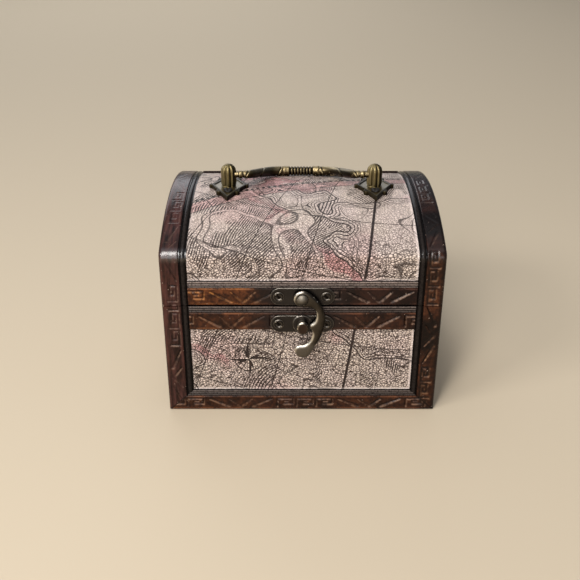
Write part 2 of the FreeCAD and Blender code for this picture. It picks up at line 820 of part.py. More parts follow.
def smooth_turning(turning):
    """The turned sections, with more between two that lie far apart, so that the bar follows its bends."""
    sections = [turning[0]]
    for (run, radius), (next_run, next_radius) in zip(turning, turning[1:]):
        count = max(1, math.ceil((next_run - run) / path_step))
        for number in range(1, count + 1):
            part_way = number / count
            sections.append((run + (next_run - run) * part_way, radius + (next_radius - radius) * part_way))
    return sections


def along(run):
    """The point and heading at a distance along the right half of the bail."""
    left_over = run
    for edge in bail_edges[:-1]:
        if left_over <= edge.Length:
            break
        left_over -= edge.Length
    else:
        edge = bail_edges[-1]
    spot = edge.getParameterByLength(min(left_over, edge.Length))
    return edge.valueAt(spot), edge.tangentAt(spot)


def bail_ring(radius, centre, heading):
    """A round section across the bail, with its seam on top."""
    ring = Part.makeCircle(radius)
    ring.Placement = FreeCAD.Placement(centre, FreeCAD.Rotation(up, heading.cross(up), heading, "ZXY"))
    return Part.Wire([ring])


right_half = [(radius,) + along(run) for run, radius in smooth_turning(bail_turning)]
beads = []
for number in range(bead_count):
    bead_start = V(bead_pitch * (bead_count / 2 - number), bail_reach, 0)
    for part_way, radius in ((1 / 4, bail_grip_radius), (3 / 4, bail_grip_radius), (1, groove_radius)):
        beads.append((radius, bead_start - across * (bead_pitch * part_way), across * -1))
left_half = [
    (radius, V(-centre.x, centre.y, 0), V(heading.x, -heading.y, 0))
    for radius, centre, heading in reversed(right_half[:-1])
]
bail_rings = [bail_ring(*section) for section in right_half + beads + left_half]
bail = Part.makeLoft(bail_rings, True, True)


def bail_gap(droop):
    """How far the folded bail's middle clears the map cover at an angle below level."""
    y = handle_offset + bail_reach * math.cos(droop)
    z = bail_axis_height - bail_reach * math.sin(droop)
    return math.hypot(y, z - arch_centre) - cover_radius - bail_grip_radius


# the bail lies as low as its clearance over the cover lets it
droop_low = 0
droop_high = math.pi / 2
halvings = 60
for attempt in range(halvings):
    droop = (droop_low + droop_high) / 2
    if bail_gap(droop) > bail_clearance:
        droop_low = droop
    else:
        droop_high = droop
bail.rotate(V(0, 0, 0), across, -math.degrees(droop_low))
bail.translate(V(0, handle_offset, bail_axis_height))
parts["bail"] = bail

# Hinges: leaves on the back rails, turning about the pins just behind them
hinge_axis_y = half_depth + swing_clearance + knuckle_radius
knuckle_length = (hinge_width - (knuckle_count - 1) * knuckle_gap) / knuckle_count
knuckle_pitch = knuckle_length + knuckle_gap
leaf_clear = knuckle_radius + swing_clearance
hinge_face = half_depth + hinge_leaf_thickness
hinge_screw_length = hinge_leaf_thickness + trim + screw_bite


def leaf(middle_x, direction, own):
    """A hinge leaf going up (1) or down (-1) from the axis, with its own knuckles."""
    left = middle_x - hinge_width / 2
    ends = sorted([seam_height + direction * leaf_clear, seam_height + direction * hinge_leaf_height])
    pieces = [box(left, left + hinge_width, half_depth, hinge_face, ends[0], ends[1])]
    for number in own:
        start = left + number * knuckle_pitch
        reach = sorted([seam_height, seam_height + direction * hinge_leaf_height])
        pieces.append(box(start, start + knuckle_length, half_depth, hinge_face, reach[0], reach[1]))
        pieces.append(rod(knuckle_radius, V(start, hinge_axis_y, seam_height), across, knuckle_length))
    bore = rod(
        pin_radius + pin_clearance, V(left - cut_overrun, hinge_axis_y, seam_height), across,
        hinge_width + 2 * cut_overrun,
    )
    return fused(pieces).cut(bore)


def leaf_screws(middle_x, direction):
    """The two screws of a leaf, before and after their slots are cut."""
    whole = []
    done = []
    for side in (-1, 1):
        screw_height = seam_height + direction * hinge_screw_from_axis
        at = V(middle_x + side * hinge_screw_spacing / 2, hinge_face, screw_height)
        screw = countersunk(at, back_out, hinge_screw_length)
        whole.append(screw)
        done.append(slotted(screw, at, back_out, (across + up * side).normalize()))
    return whole, done


base_knuckles = range(0, knuckle_count, 2)
lid_knuckles = range(1, knuckle_count, 2)
base_screws = []
lid_screws = []
pins = []
for word, side in (("left", -1), ("right", 1)):
    middle_x = side * hinge_spacing / 2
    whole, done = leaf_screws(middle_x, -1)
    parts["hinge_base_leaf_" + word] = less(leaf(middle_x, -1, base_knuckles), whole)
    base_screws += done
    for name in ("top_rail_back", "back_board"):
        holes[name] += whole
    whole, done = leaf_screws(middle_x, 1)
    parts["hinge_lid_leaf_" + word] = less(leaf(middle_x, 1, lid_knuckles), whole)
    lid_screws += done
    for name in ("lid_rail_back", "lid_back_board"):
        holes[name] += whole
    left = middle_x - hinge_width / 2
    pin = [rod(pin_radius, V(left, hinge_axis_y, seam_height), across, hinge_width)]
    for start in (left - pin_head_length, left + hinge_width):
        pin.append(rod(pin_head_radius, V(start, hinge_axis_y, seam_height), across, pin_head_length))
    pins.append(fused(pin))
parts["hinge_base_screws"] = Part.makeCompound(base_screws)
parts["hinge_lid_screws"] = Part.makeCompound(lid_screws)
parts["hinge_pins"] = Part.makeCompound(pins)

# Holes that the fasteners fill
for name, tools in holes.items():
    parts[name] = less(parts[name], tools)

os.makedirs("parts", exist_ok=True)
for name, shape in parts.items():
    solids = shape.Solids
    whole = solids[0] if len(solids) == 1 else Part.makeCompound(solids)
    whole.exportStep("parts/" + name + ".step")
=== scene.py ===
import math

import bpy
import numpy as np
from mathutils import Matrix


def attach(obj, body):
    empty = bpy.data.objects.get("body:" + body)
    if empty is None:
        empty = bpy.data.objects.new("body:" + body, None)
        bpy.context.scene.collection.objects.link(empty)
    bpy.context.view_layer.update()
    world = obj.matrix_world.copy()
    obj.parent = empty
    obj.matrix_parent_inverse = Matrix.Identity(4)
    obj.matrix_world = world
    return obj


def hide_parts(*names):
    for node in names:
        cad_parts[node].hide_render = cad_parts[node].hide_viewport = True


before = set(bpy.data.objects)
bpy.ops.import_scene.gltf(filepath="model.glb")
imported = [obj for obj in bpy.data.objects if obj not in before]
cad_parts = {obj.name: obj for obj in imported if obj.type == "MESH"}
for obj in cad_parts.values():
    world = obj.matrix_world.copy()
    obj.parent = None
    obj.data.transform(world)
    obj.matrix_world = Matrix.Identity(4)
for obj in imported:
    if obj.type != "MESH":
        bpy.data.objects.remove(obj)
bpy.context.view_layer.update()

# Lengths are in millimetres and are scaled to metres where an object is made.
MM = 0.001

# Values that differ by side are kept by its sign
signs = {"front": -1, "back": 1, "left": -1, "right": 1}

# Chest, over the trim: the same sizes as the part
chest_width = 128.0
chest_depth = 104.5
base_height = 57.4
lid_bottom = 57.8
spring_height = 83.6
crest_height = 94.9
trim_depth = 1.8
map_depth = 1.2
map_back = 1.7

# Trim mouldings, the same as the part's
strip_width = 12.2
strip_round = 1.5
field_inset = 0.35
groove_width = 0.6
groove_depth = 0.7
bead_width = 2.4
bead_drop = 0.15
lip_width = 0.5
lip_drop = 0.8
lid_rail_height = 12.3
base_rail_height = 12.6
bottom_rail_height = 11.4
rail_round = 1.2
reed_count = 3
reed_width = 1.15
reed_valley = 0.55
reed_crest = 0.1
kink_round = 4.4
cover_round = 4.4
least_round = 0.25
ledge_round = 0.4

# Metal fittings: their sizes, and how the visible copies differ from the solids
hook_swell = 0.7
rivet_swell = 0.3
stud_stretch_share = 1.25
stud_sag = 0.5
screw_head_radius = 1.9
head_radii = (0.0, 1.25, 1.6, 2.0, 2.3, 2.75)
head_levels = (0.12, 0.12, 0.42, 0.42, 0.05, 0.12)
head_root = 0.2
head_rings = 28
head_turns = 48
head_slot_width = 0.5
head_slot_depth = 0.4
handle_inset = 16.3
handle_offset = 2.2
post_radius = 3.45
post_height = 10.4
post_flutes = 8
post_swell = 0.25
flute_cut = 0.35
plate_width = 19.6
plate_length = 29.8
plate_narrow_share = 0.9
plate_long_share = 1.08
handle_head_swell = 0.25
handle_head_lift = 0.75
handle_slot_width = 0.5
handle_slot_depth = 0.6
bail_swell = 0.35
bail_cuts = (11.4, 20.0, 27.0)
bail_cut_slant = 1.2
bail_cut_width = 0.5
bail_cut_depth = 0.4
bead_pitch = 1.55
bead_count = 7
coil_gap_width = 0.74

# Dark and pale places on the fittings; the pale pockets and rim lines of the handles' plates are painted
# sheen and highlight
plate_rim_shares = (0.78, 0.86)
plate_rim_dark_share = 0.9
plate_pocket_share = 0.25
pocket_bare_share = 0.42
rim_line_shares = (0.8, 0.84, 0.88, 0.92)
rim_bare_share = 0.3
foot_bare_share = 0.15
foot_bare_reach = (6.0, 9.0)
coil_dark_share = 0.45
arm_dark_starts = {-1: (12.5, 15.0), 1: (16.5, 19.5)}
arm_dark_end = (24.0, 26.5)
arm_dark_share = 0.6

# Castings: the grid of the remeshed copies, and how often their points are evened out
fine_voxel = 0.14
handle_voxel = 0.17
hook_voxel = 0.2
plate_passes = 4
rivet_passes = 5
handle_passes = 3
hook_passes = 130

# Grid of the trim meshes, and the angles in degrees above which edges stay sharp
cell = 0.25
cells_in_round = 6
cells_in_reed = 6
cells_in_bead = 8
cells_in_ledge = 4
cells_in_kink = 10
bar_sharp_angle = 38.0
head_sharp_angle = 50.0

# Pressed pattern: chevron groups and Greek keys in turn along every strip
pattern_period = 62.0
chevron_half = 17.0
chevron_strokes = ((0.0, 5.5), (5.5, 15.0))
key_count = 3
key_shares = [(0.08, 0.0), (0.08, 1.0), (0.9, 1.0), (0.9, 0.3), (0.42, 0.3), (0.42, 0.66), (0.64, 0.66)]
stroke_width_shares = (1.2, 0.4)
rail_key_share = 0.65
strip_key_shares = {-1: 0.65, 1: 0.95}
channel_width = 1.1
channel_depth = 0.6
channel_edge = 0.95
pattern_rim = 1.1
fade_share = 0.5
fade_lengths = (7.3, 12.1, 9.0)
strip_cut_shares = {-1: 0.75, 1: 0.9}
arch_cut_shares = {-1: 0.42, 1: 0.3}
fold_reach = (1.6, 4.6)
fold_calm_share = 0.85
fold_shares = {-1: 1.0, 1: 0.25}

# Middles of a chevron group: up the corners, and along the bands and the rails
corner_middles = {
    ("front", "left"): 19.0, ("front", "right"): 42.0, ("back", "left"): 42.0, ("back", "right"): 19.0,
}
band_middles = {"left": 28.0, "right": 45.0}
rail_middles = {"bottom": 32.5, "top": 29.5, "lid": 35.0}

# Finish of the trim, kept as attributes of its points; lit and shade are painted highlight and painted shade
# on the flanks of the pattern, and crest_highlight a painted highlight on the beads and reeds
trim_marks = ("tone", "worn", "lit", "shade", "crest_highlight", "warm", "rose", "fold", "deep", "smoke")
light_up = 1.3
light_aside = 0.55
flank_fade_share = 0.7
bead_lit_share = 0.055
reed_fade_share = 0.7
reed_sharpness = 1.6
edge_wear_share = 0.12
rail_foot_wear_share = 0.7
rim_wear_reach = 0.5
warm_fade_shares = (0.16, 0.4)
rail_warm_shares = {"bottom": (0.34, 0.26), "top": (0.42, 0.2), "lid": (1.0, 0.06)}
rail_stroke_shares = {"bottom": 0.6, "top": 0.65, "lid": 0.95}
rail_lit_shares = {"bottom": 0.46, "top": 0.5, "lid": 0.97}
rail_deep_share = 0.3
strip_warm_shares = {-1: 0.12, 1: 0.42}
arch_warm_shares = {-1: 0.05, 1: 0.08}
strip_rose_shares = {-1: 0.9, 1: 0.0}
strip_lit_shares = {-1: 0.75, 1: 0.9}
strip_deep_shares = {-1: 0.45, 1: 1.0}
recess_shares = (0.1, 0.55)
strip_soot_shares = {-1: 0.2, 1: 1.0}
soot_reach = (6.0, 11.5)
strip_edge_shares = {-1: 0.0, 1: 0.85}
edge_dark_reach = (0.9, 2.8)
mitre_dark_share = 0.9
mitre_reach = (0.2, 0.7)
smoke_reach = (13.0, 27.0)

# How strongly the marks show in the trim's colour; shade_share is that of the painted shade
rub_share = 0.4
shade_share = 0.6
recess_dark_share = 0.85
smoke_share = 0.7
speck_share = 0.55

# Metal: the object-space way from which the painted light falls, so that faces turned towards it are painted
# paler and those turned away darker, and shares of its finish
painted_light_way = (-0.42, -0.3, 0.86)
edge_rub_share = 0.7
dirt_share = 0.92

# Chart: lengths on its sheet, half widths of its lines, angles in degrees. A spacing may have an offset
sheet_unit = 100.0
line_soft_share = 0.35
slope_probe = 0.4
least_slope = 0.002
coast_level_share = 0.44
coast_line = 0.27
water_spacing = 1.3
water_line = 0.19
sea_reach = (0.0, -0.4, -4.0, -7.0)
tint_reach = (0.0, 0.3, 3.6, 5.0)
hill_bow = 22.0
hill_heights = (88.0, 78.0)
hatch_spacing = 1.1
hatch_shake = 1.05
graticule_pole = (64.0, 330.0)
arc_spacing = (34.0, 9.0)
ray_spacing = (6.0, 97.9)
thick_ray_spacing = (36.0, 97.9)
graticule_line = 0.22
thick_ray_line = 0.62
band_middle = (60.0, -60.0)
band_reach = (204.0, 204.3, 211.0, 211.3)
band_lines = ((203.8, 0.25), (211.6, 0.25), (213.4, 0.18))
tick_reach = (211.5, 211.7, 213.3, 213.5)
tick_rate = 8.0
band_post_angle = 7.5
band_post_line = 0.24
band_degree = 3.6
rose_middle = (-25.0, 28.5)
rose_line = 0.26
rose_ring = 6.6
rose_ring_line = 0.2
rose_ray_reach = (9.0, 10.0, 30.0, 60.0)
rose_ray_angle = 22.5
rose_ray_line = 0.14
# Spikes of the rose: length, what each degree aside takes off it, and spacing
rose_spikes = ((9.5, 0.36, (90.0, 360.0)), (5.6, 0.22, (45.0, 382.5)))

# Leatherette: its pebbles, the heights over which the painted shade of its cracks weakens, and the pale
# margin beside the trim
pebble_sway = 0.5
pebble_height = 0.3
crack_heights = (94.0, 80.0)
margin_reach = (1.5, 0.5)
left_margin_share = 0.4

# Studio: lamps by place, point aimed at, width and height, watts and colour
lamps = {
    "key": ((-900, -620, 900), (0, 0, 50), (440, 330), 6.2, (1.0, 0.98, 0.96)),
    "strip": ((-185, -500, 740), (0, 0, 60), (140, 860), 5.7, (1.0, 0.97, 0.94)),
    "fill": ((-250, -1400, 400), (0, 0, 50), (1500, 700), 7.6, (1.0, 0.98, 0.97)),
    "overhead": ((0, 250, 1500), (0, 0, 60), (1200, 1200), 3.4, (0.95, 0.97, 1.0)),
    "back": ((-340, 1250, 650), (0, 0, 90), (1120, 700), 5.2, (0.93, 0.96, 1.0)),
}
sky_colour = (0.80, 0.83, 0.90, 1.0)
sky_strength = 0.25
floor_reach = 5000.0
floor_colour = (202, 187, 163)

# Camera, with its tilt in degrees
camera_place = (-5.62, -398.15, 250.9)
camera_tilt = 61.87
camera_lens = 54.06
camera_sensor = 36.0

# Sizes that follow from those above
half_width = chest_width / 2
half_depth = chest_depth / 2
lid_rise = crest_height - spring_height
arch_radius = (half_depth**2 + lid_rise**2) / (2 * lid_rise)
arch_centre = crest_height - arch_radius
strip_inner = half_width - strip_width
strip_inner_depth = half_depth - strip_width
groove_start = strip_width - lip_width - bead_width - groove_width
groove_end = groove_start + groove_width
bead_end = strip_width - lip_width
field_low = strip_round + field_inset
field_width = groove_start - ledge_round - field_low
lid_map_foot = lid_bottom + lid_rail_height
upright_rows = round((spring_height - lid_bottom) / cell)
arch_rows = round(arch_radius * math.asin(half_depth / arch_radius) / cell)
handle_x = strip_inner - handle_inset
post_top = max(corner[2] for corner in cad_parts["handle_post_left"].bound_box) / MM
post_foot = post_top - post_height

# Rows of rails: body, lower edge and height
rails = {
    "bottom": ("base", 0.0, bottom_rail_height),
    "top": ("base", base_height - base_rail_height, base_rail_height),
    "lid": ("lid", lid_bottom, lid_rail_height),
}

# Metals: dark and light colours, the painted shade and painted light on faces turned away from and towards
# the way;
# a colour for worn edges and painted glints; roughness, share of the glint, the way it faces and where it
# starts
metals = {
    "aged_brass": ((36, 29, 18), (92, 80, 54), (184, 168, 128)),
    "post_brass": ((26, 22, 16), (124, 109, 72), (192, 178, 138), 0.4, 0.3, (-0.8, -0.45, 0.4)),
    "bail_brass": ((16, 12, 8), (88, 74, 50), (228, 206, 158), 0.28, 0.3, (0, -0.4, 0.92)),
    "dark_bronze": ((28, 27, 27), (66, 62, 60), (180, 172, 160), 0.24, 0.6),
    "satin_bronze": ((18, 16, 14), (84, 77, 68), (238, 231, 216), 0.2, 0.85, (-0.75, -0.3, 0.59), 0.44),
    "rubbed_rivet": ((46, 42, 37), (118, 111, 100), (180, 172, 160), 0.42, 0.15),
    "brown_stud": ((38, 30, 26), (74, 60, 52), (236, 226, 206), 0.24, 0.55),
    "screw_heads": ((24, 22, 21), (70, 65, 61), (170, 162, 150), 0.3),
}

# Plain surfaces: dark and light colours, scale of the clouds, roughness, grain height, sheen and gloss
plains = {
    "black_screw": ((12, 11, 10), (42, 38, 35), 0.8, 0.5, 0.1, 0.0, 0.3),
    "edge_lacquer": ((14, 8, 7), (44, 26, 22), 0.1, 0.26, 0.06),
    "flock_lining": ((28, 20, 20), (52, 38, 36), 0.25, 0.95, 0.3, 0.4),
    "underside_felt": ((20, 19, 19), (38, 36, 35), 0.3, 0.95, 0.3),
}

# Charts: the object's axes along the sheet, the part of the land shown, half the sheet's width and its foot
charts = {
    "chart_front": ((0, 2), (37.0, 51.0), strip_inner, bottom_rail_height),
    "chart_side": ((1, 2), (237.0, 11.0), strip_inner_depth, bottom_rail_height),
    "chart_lid": (None, (37.0, 11.0), strip_inner, lid_map_foot),
}

# Which look each slot of the part has, and the nodes with a look of their own
slot_looks = {
    "antique_brass": "aged_brass", "trim": "pressed_trim", "wood": "stained_board",
    "lining": "flock_lining", "underside": "underside_felt", "map_cover": "chart_front",
}
own_looks = {
    "chart_side": ("left_map", "right_map", "lid_left_map", "lid_right_map"),
    "dark_screw": ("hinge_base_screws", "hinge_lid_screws"),
    "dark_bronze": ("latch_plate", "keeper_plate"),
    "post_brass": ("handle_post_left", "handle_post_right"),
    "edge_lacquer": ("lid_edge_strip",), "black_screw": ("handle_screws",), "satin_bronze": ("hook",),
    "brown_stud": ("keeper_stud",), "rubbed_rivet": ("latch_rivet",), "bail_brass": ("bail",),
}


# Materials


def arithmetic(operation):
    """A method that makes the node for an operation on a wire and another value."""
    return lambda wire, other=0.0: wire.graph.math(operation, wire, other)


class Wire:
    """A node's output, with arithmetic."""

    def __init__(self, graph, socket):
        self.graph = graph
        self.socket = socket

    def __rsub__(self, other):
        return self.graph.math("SUBTRACT", other, self)

    __add__ = arithmetic("ADD")
    __sub__ = arithmetic("SUBTRACT")
    __mul__ = arithmetic("MULTIPLY")
    __truediv__ = arithmetic("DIVIDE")
    __gt__ = arithmetic("GREATER_THAN")
    __abs__ = arithmetic("ABSOLUTE")


def rgb(colour):
    """A colour written as it shows on a screen, 0 to 255, for a shader socket."""
    shares = [value / 255 for value in colour]
    linear = [share / 12.92 if share <= 0.04045 else ((share + 0.055) / 1.055) ** 2.4 for share in shares]
    return (*linear, 1.0)


class Graph:
    """A material's node tree, with short calls for the nodes used here."""

    def __init__(self, name):
        self.material = bpy.data.materials.new(name)
        self.material.use_nodes = True
        self.tree = self.material.node_tree
        self.shader = next(node for node in self.tree.nodes if node.type == "BSDF_PRINCIPLED")

    def put(self, socket, value):
        """Links a wire to a socket, or sets the socket's own value."""
        if isinstance(value, Wire):
            self.tree.links.new(value.socket, socket)
        else:
            socket.default_value = value

    def node(self, kind, inputs, out=0, **settings):
        made = self.tree.nodes.new("ShaderNode" + kind)
        for name, value in settings.items():
            setattr(made, name, value)
        for name, value in inputs.items():
            self.put(made.inputs[name], value)
        return Wire(self, made.outputs[out])

    def math(self, operation, first, second=0.0):
        return self.node("Math", {0: first, 1: second}, operation=operation)

    def most(self, first, *others):
        for value in others:
            first = self.math("MAXIMUM", first, value)
        return first

    def mix(self, share, first, second):
        """A blend of two colours, each a wire or written as it shows on a screen."""
        first, second = (rgb(colour) if isinstance(colour, tuple) else colour for colour in (first, second))
        # Sockets 0, 6 and 7 are the share and the two colours, and output 2 is the blended colour
        return self.node("Mix", {0: share, 6: first, 7: second}, 2, data_type="RGBA")

    def layered(self, colour, *layers):
        """A colour under layers, each a share and a colour."""
        for share, over in layers:
            colour = self.mix(share, colour, over)
        return colour

    def ramp(self, value, low, high):
        """0 below low, 1 above high, smooth between them. High may be less than low."""
        inputs = {"Value": value, "From Min": low, "From Max": high}
        return self.node("MapRange", inputs, interpolation_type="SMOOTHSTEP")

    def noise(self, place, scale, detail, rough=0.5, distortion=0.0, out="Fac"):
        inputs = {
            "Vector": place, "Scale": scale, "Detail": detail, "Roughness": rough, "Distortion": distortion,
        }
        return self.node("TexNoise", inputs, out)

    def attribute(self, name):
        return self.node("Attribute", {}, "Fac", attribute_name=name)

    def vector(self, operation, inputs, out="Vector"):
        return self.node("VectorMath", inputs, out, operation=operation)

    def split(self, place):
        return [self.node("SeparateXYZ", {0: place}, part) for part in range(3)]

    def object_place(self):
        """The place on the object in millimetres, which goes with the object when it moves."""
        place = self.node("TexCoord", {}, "Object")
        return self.vector("SCALE", {0: place, "Scale": 1 / MM})

    def moved(self, place, scale=(1, 1, 1), turn=(0, 0, 0), shift=(0, 0, 0)):
        return self.node("Mapping", {"Vector": place, "Location": shift, "Rotation": turn, "Scale": scale})

    def swayed(self, place, scale, detail, reach):
        """The place pushed about on the sheet by a noise."""
        push = self.noise(place, scale, detail, out="Color")
        return self.vector("MULTIPLY_ADD", {0: push, 1: (reach, reach, 0.0), 2: place})

    def bump(self, height, distance, strength, **normal):
        inputs = {"Height": height, "Distance": distance * MM, "Strength": strength, **normal}
        return self.node("Bump", inputs)

    def finish(self, **sockets):
        for name, value in sockets.items():
            self.put(self.shader.inputs[name.replace("_", " ")], value)
        return self.material


def trim_material(name):
    """Stained and lacquered trim: mahogany fields, orange or rose in places, with worn edges, painted
    highlights on the flanks of the strokes that face the light and painted shade on those that face away,
    dark recesses, smoke by the latch and pale specks, and black beads and reeds with painted highlights along
    their tops."""
    g = Graph(name)
    place = g.object_place()
    tone, worn, lit, shade, crest_highlight, warm, rose, fold, deep, smoke = [g.attribute(mark) for mark in trim_marks]
    patch = g.noise(place, 0.12, 4.0, 0.6)
    fine = g.noise(place, 1.3, 3.0, 0.6)
    lump = g.noise(place, 0.5, 2.0)
    cloudy = g.ramp(patch, 0.36, 0.64)
    # streak: lighter streaks for the rose strips, partly tone of the stain and partly painted sheen
    streak = g.ramp(g.noise(g.moved(place, (1.0, 0.12, 0.12)), 0.6, 3.0, 0.6), 0.3, 0.72)
    speck = g.ramp(g.noise(place, 0.8, 2.0), 0.72, 0.76)
    rub = worn * g.ramp(patch + fine * 0.4, 0.58, 0.85)
    # paleness: painted highlight on the flanks of the strokes that face the light
    bare = lit * (g.ramp(lump, 0.38, 0.6) * 0.7 + 0.15)
    brown = g.layered(
        (17, 9, 8),
        (cloudy, (36, 21, 18)),
        (rose, g.mix(streak, (20, 12, 12), (77, 47, 43))),
        (warm * (cloudy * 0.55 + 0.45), g.mix(g.ramp(lump, 0.3, 0.7), (56, 29, 16), (108, 61, 33))),
        (rub * rub_share, g.mix(warm, (108, 70, 58), (200, 124, 62))),
        # painted highlight on the flanks that face the light
        (bare, g.mix(warm, (164, 138, 120), (206, 138, 72))),
        # painted shade on the flanks that face away from the light, and darker recesses
        (g.most(shade * shade_share, deep * recess_dark_share), (10, 6, 5)),
        (smoke * smoke_share, (26, 22, 21)),
        (speck * speck_share, (176, 152, 134)),
    )
    # crest_highlight: painted highlight along the tops of the beads and reeds
    black = g.mix(crest_highlight * g.ramp(fine, 0.2, 0.6), (6, 4, 4), (160, 143, 134))
    grain = g.bump(g.noise(place, 2.6, 4.0, 0.65), 0.02, 0.4)
    return g.finish(
        Base_Color=g.mix(tone, black, brown),
        Roughness=fine * 0.18 + 0.14,
        Normal=g.bump(lump, 0.05, fold * -0.5 + 0.6, Normal=grain),
        Specular_IOR_Level=fold * 0.75 + tone * 0.08 + 0.08,
    )


def brass_material(name, dark, light, rubbed_and_glint, rough=0.22, glint_share=0.3, way=painted_light_way, glint_from=0.5):
    """Antique metal: dark patina in the hollows, painted shade underneath and on faces turned away from the
    way, painted light on top and on faces turned towards it with painted glints there, and paler where its
    edges are worn.
    """
    g = Graph(name)
    place = g.object_place()
    cloud = g.noise(place, 0.35, 4.0, 0.6)
    fine = g.noise(place, 2.4, 4.0, 0.65)
    # facing: how far a face is turned towards the way of the painted light
    facing = g.vector("DOT_PRODUCT", {0: g.node("TexCoord", {}, "Normal"), 1: way}, "Value")
    point = g.node("NewGeometry", {}, "Pointiness")
    edge = g.ramp(point + (fine - 0.5) * 0.05, 0.505, 0.57)
    hollow = g.ramp(point, 0.495, 0.44)
    glint = g.ramp(facing, glint_from, glint_from + 0.35)
    colour = g.layered(
        dark,
        # painted light and shade: the light colour on faces turned towards the way, the dark one on faces
        # turned away
        (g.ramp(facing + (cloud - 0.5) * 0.25, -0.25, 0.75), light),
        # rubbed_and_glint colour: worn edges, and painted glints on faces turned towards the way
        (g.most(edge * edge_rub_share, glint * glint_share), rubbed_and_glint),
        (g.most(hollow, g.attribute("patina")) * dirt_share, (20, 16, 13)),
        # paleness: painted sheen and highlight on the handles' plates, and a paler foot on the hook
        (g.attribute("bare"), (192, 186, 178)),
    )
    return g.finish(
        Base_Color=colour, Metallic=1.0, Roughness=fine * 0.2 + rough, Normal=g.bump(fine, 0.08, 0.4),
    )


def iron_material(name):
    """Dark steel of the hinges' screws."""
    g = Graph(name)
    fine = g.noise(g.object_place(), 1.8, 4.0, 0.65)
    colour = g.mix(g.ramp(fine, 0.3, 0.7), (34, 28, 24), (70, 60, 50))
    return g.finish(Base_Color=colour, Metallic=1.0, Roughness=0.42, Normal=g.bump(fine, 0.1, 0.5))


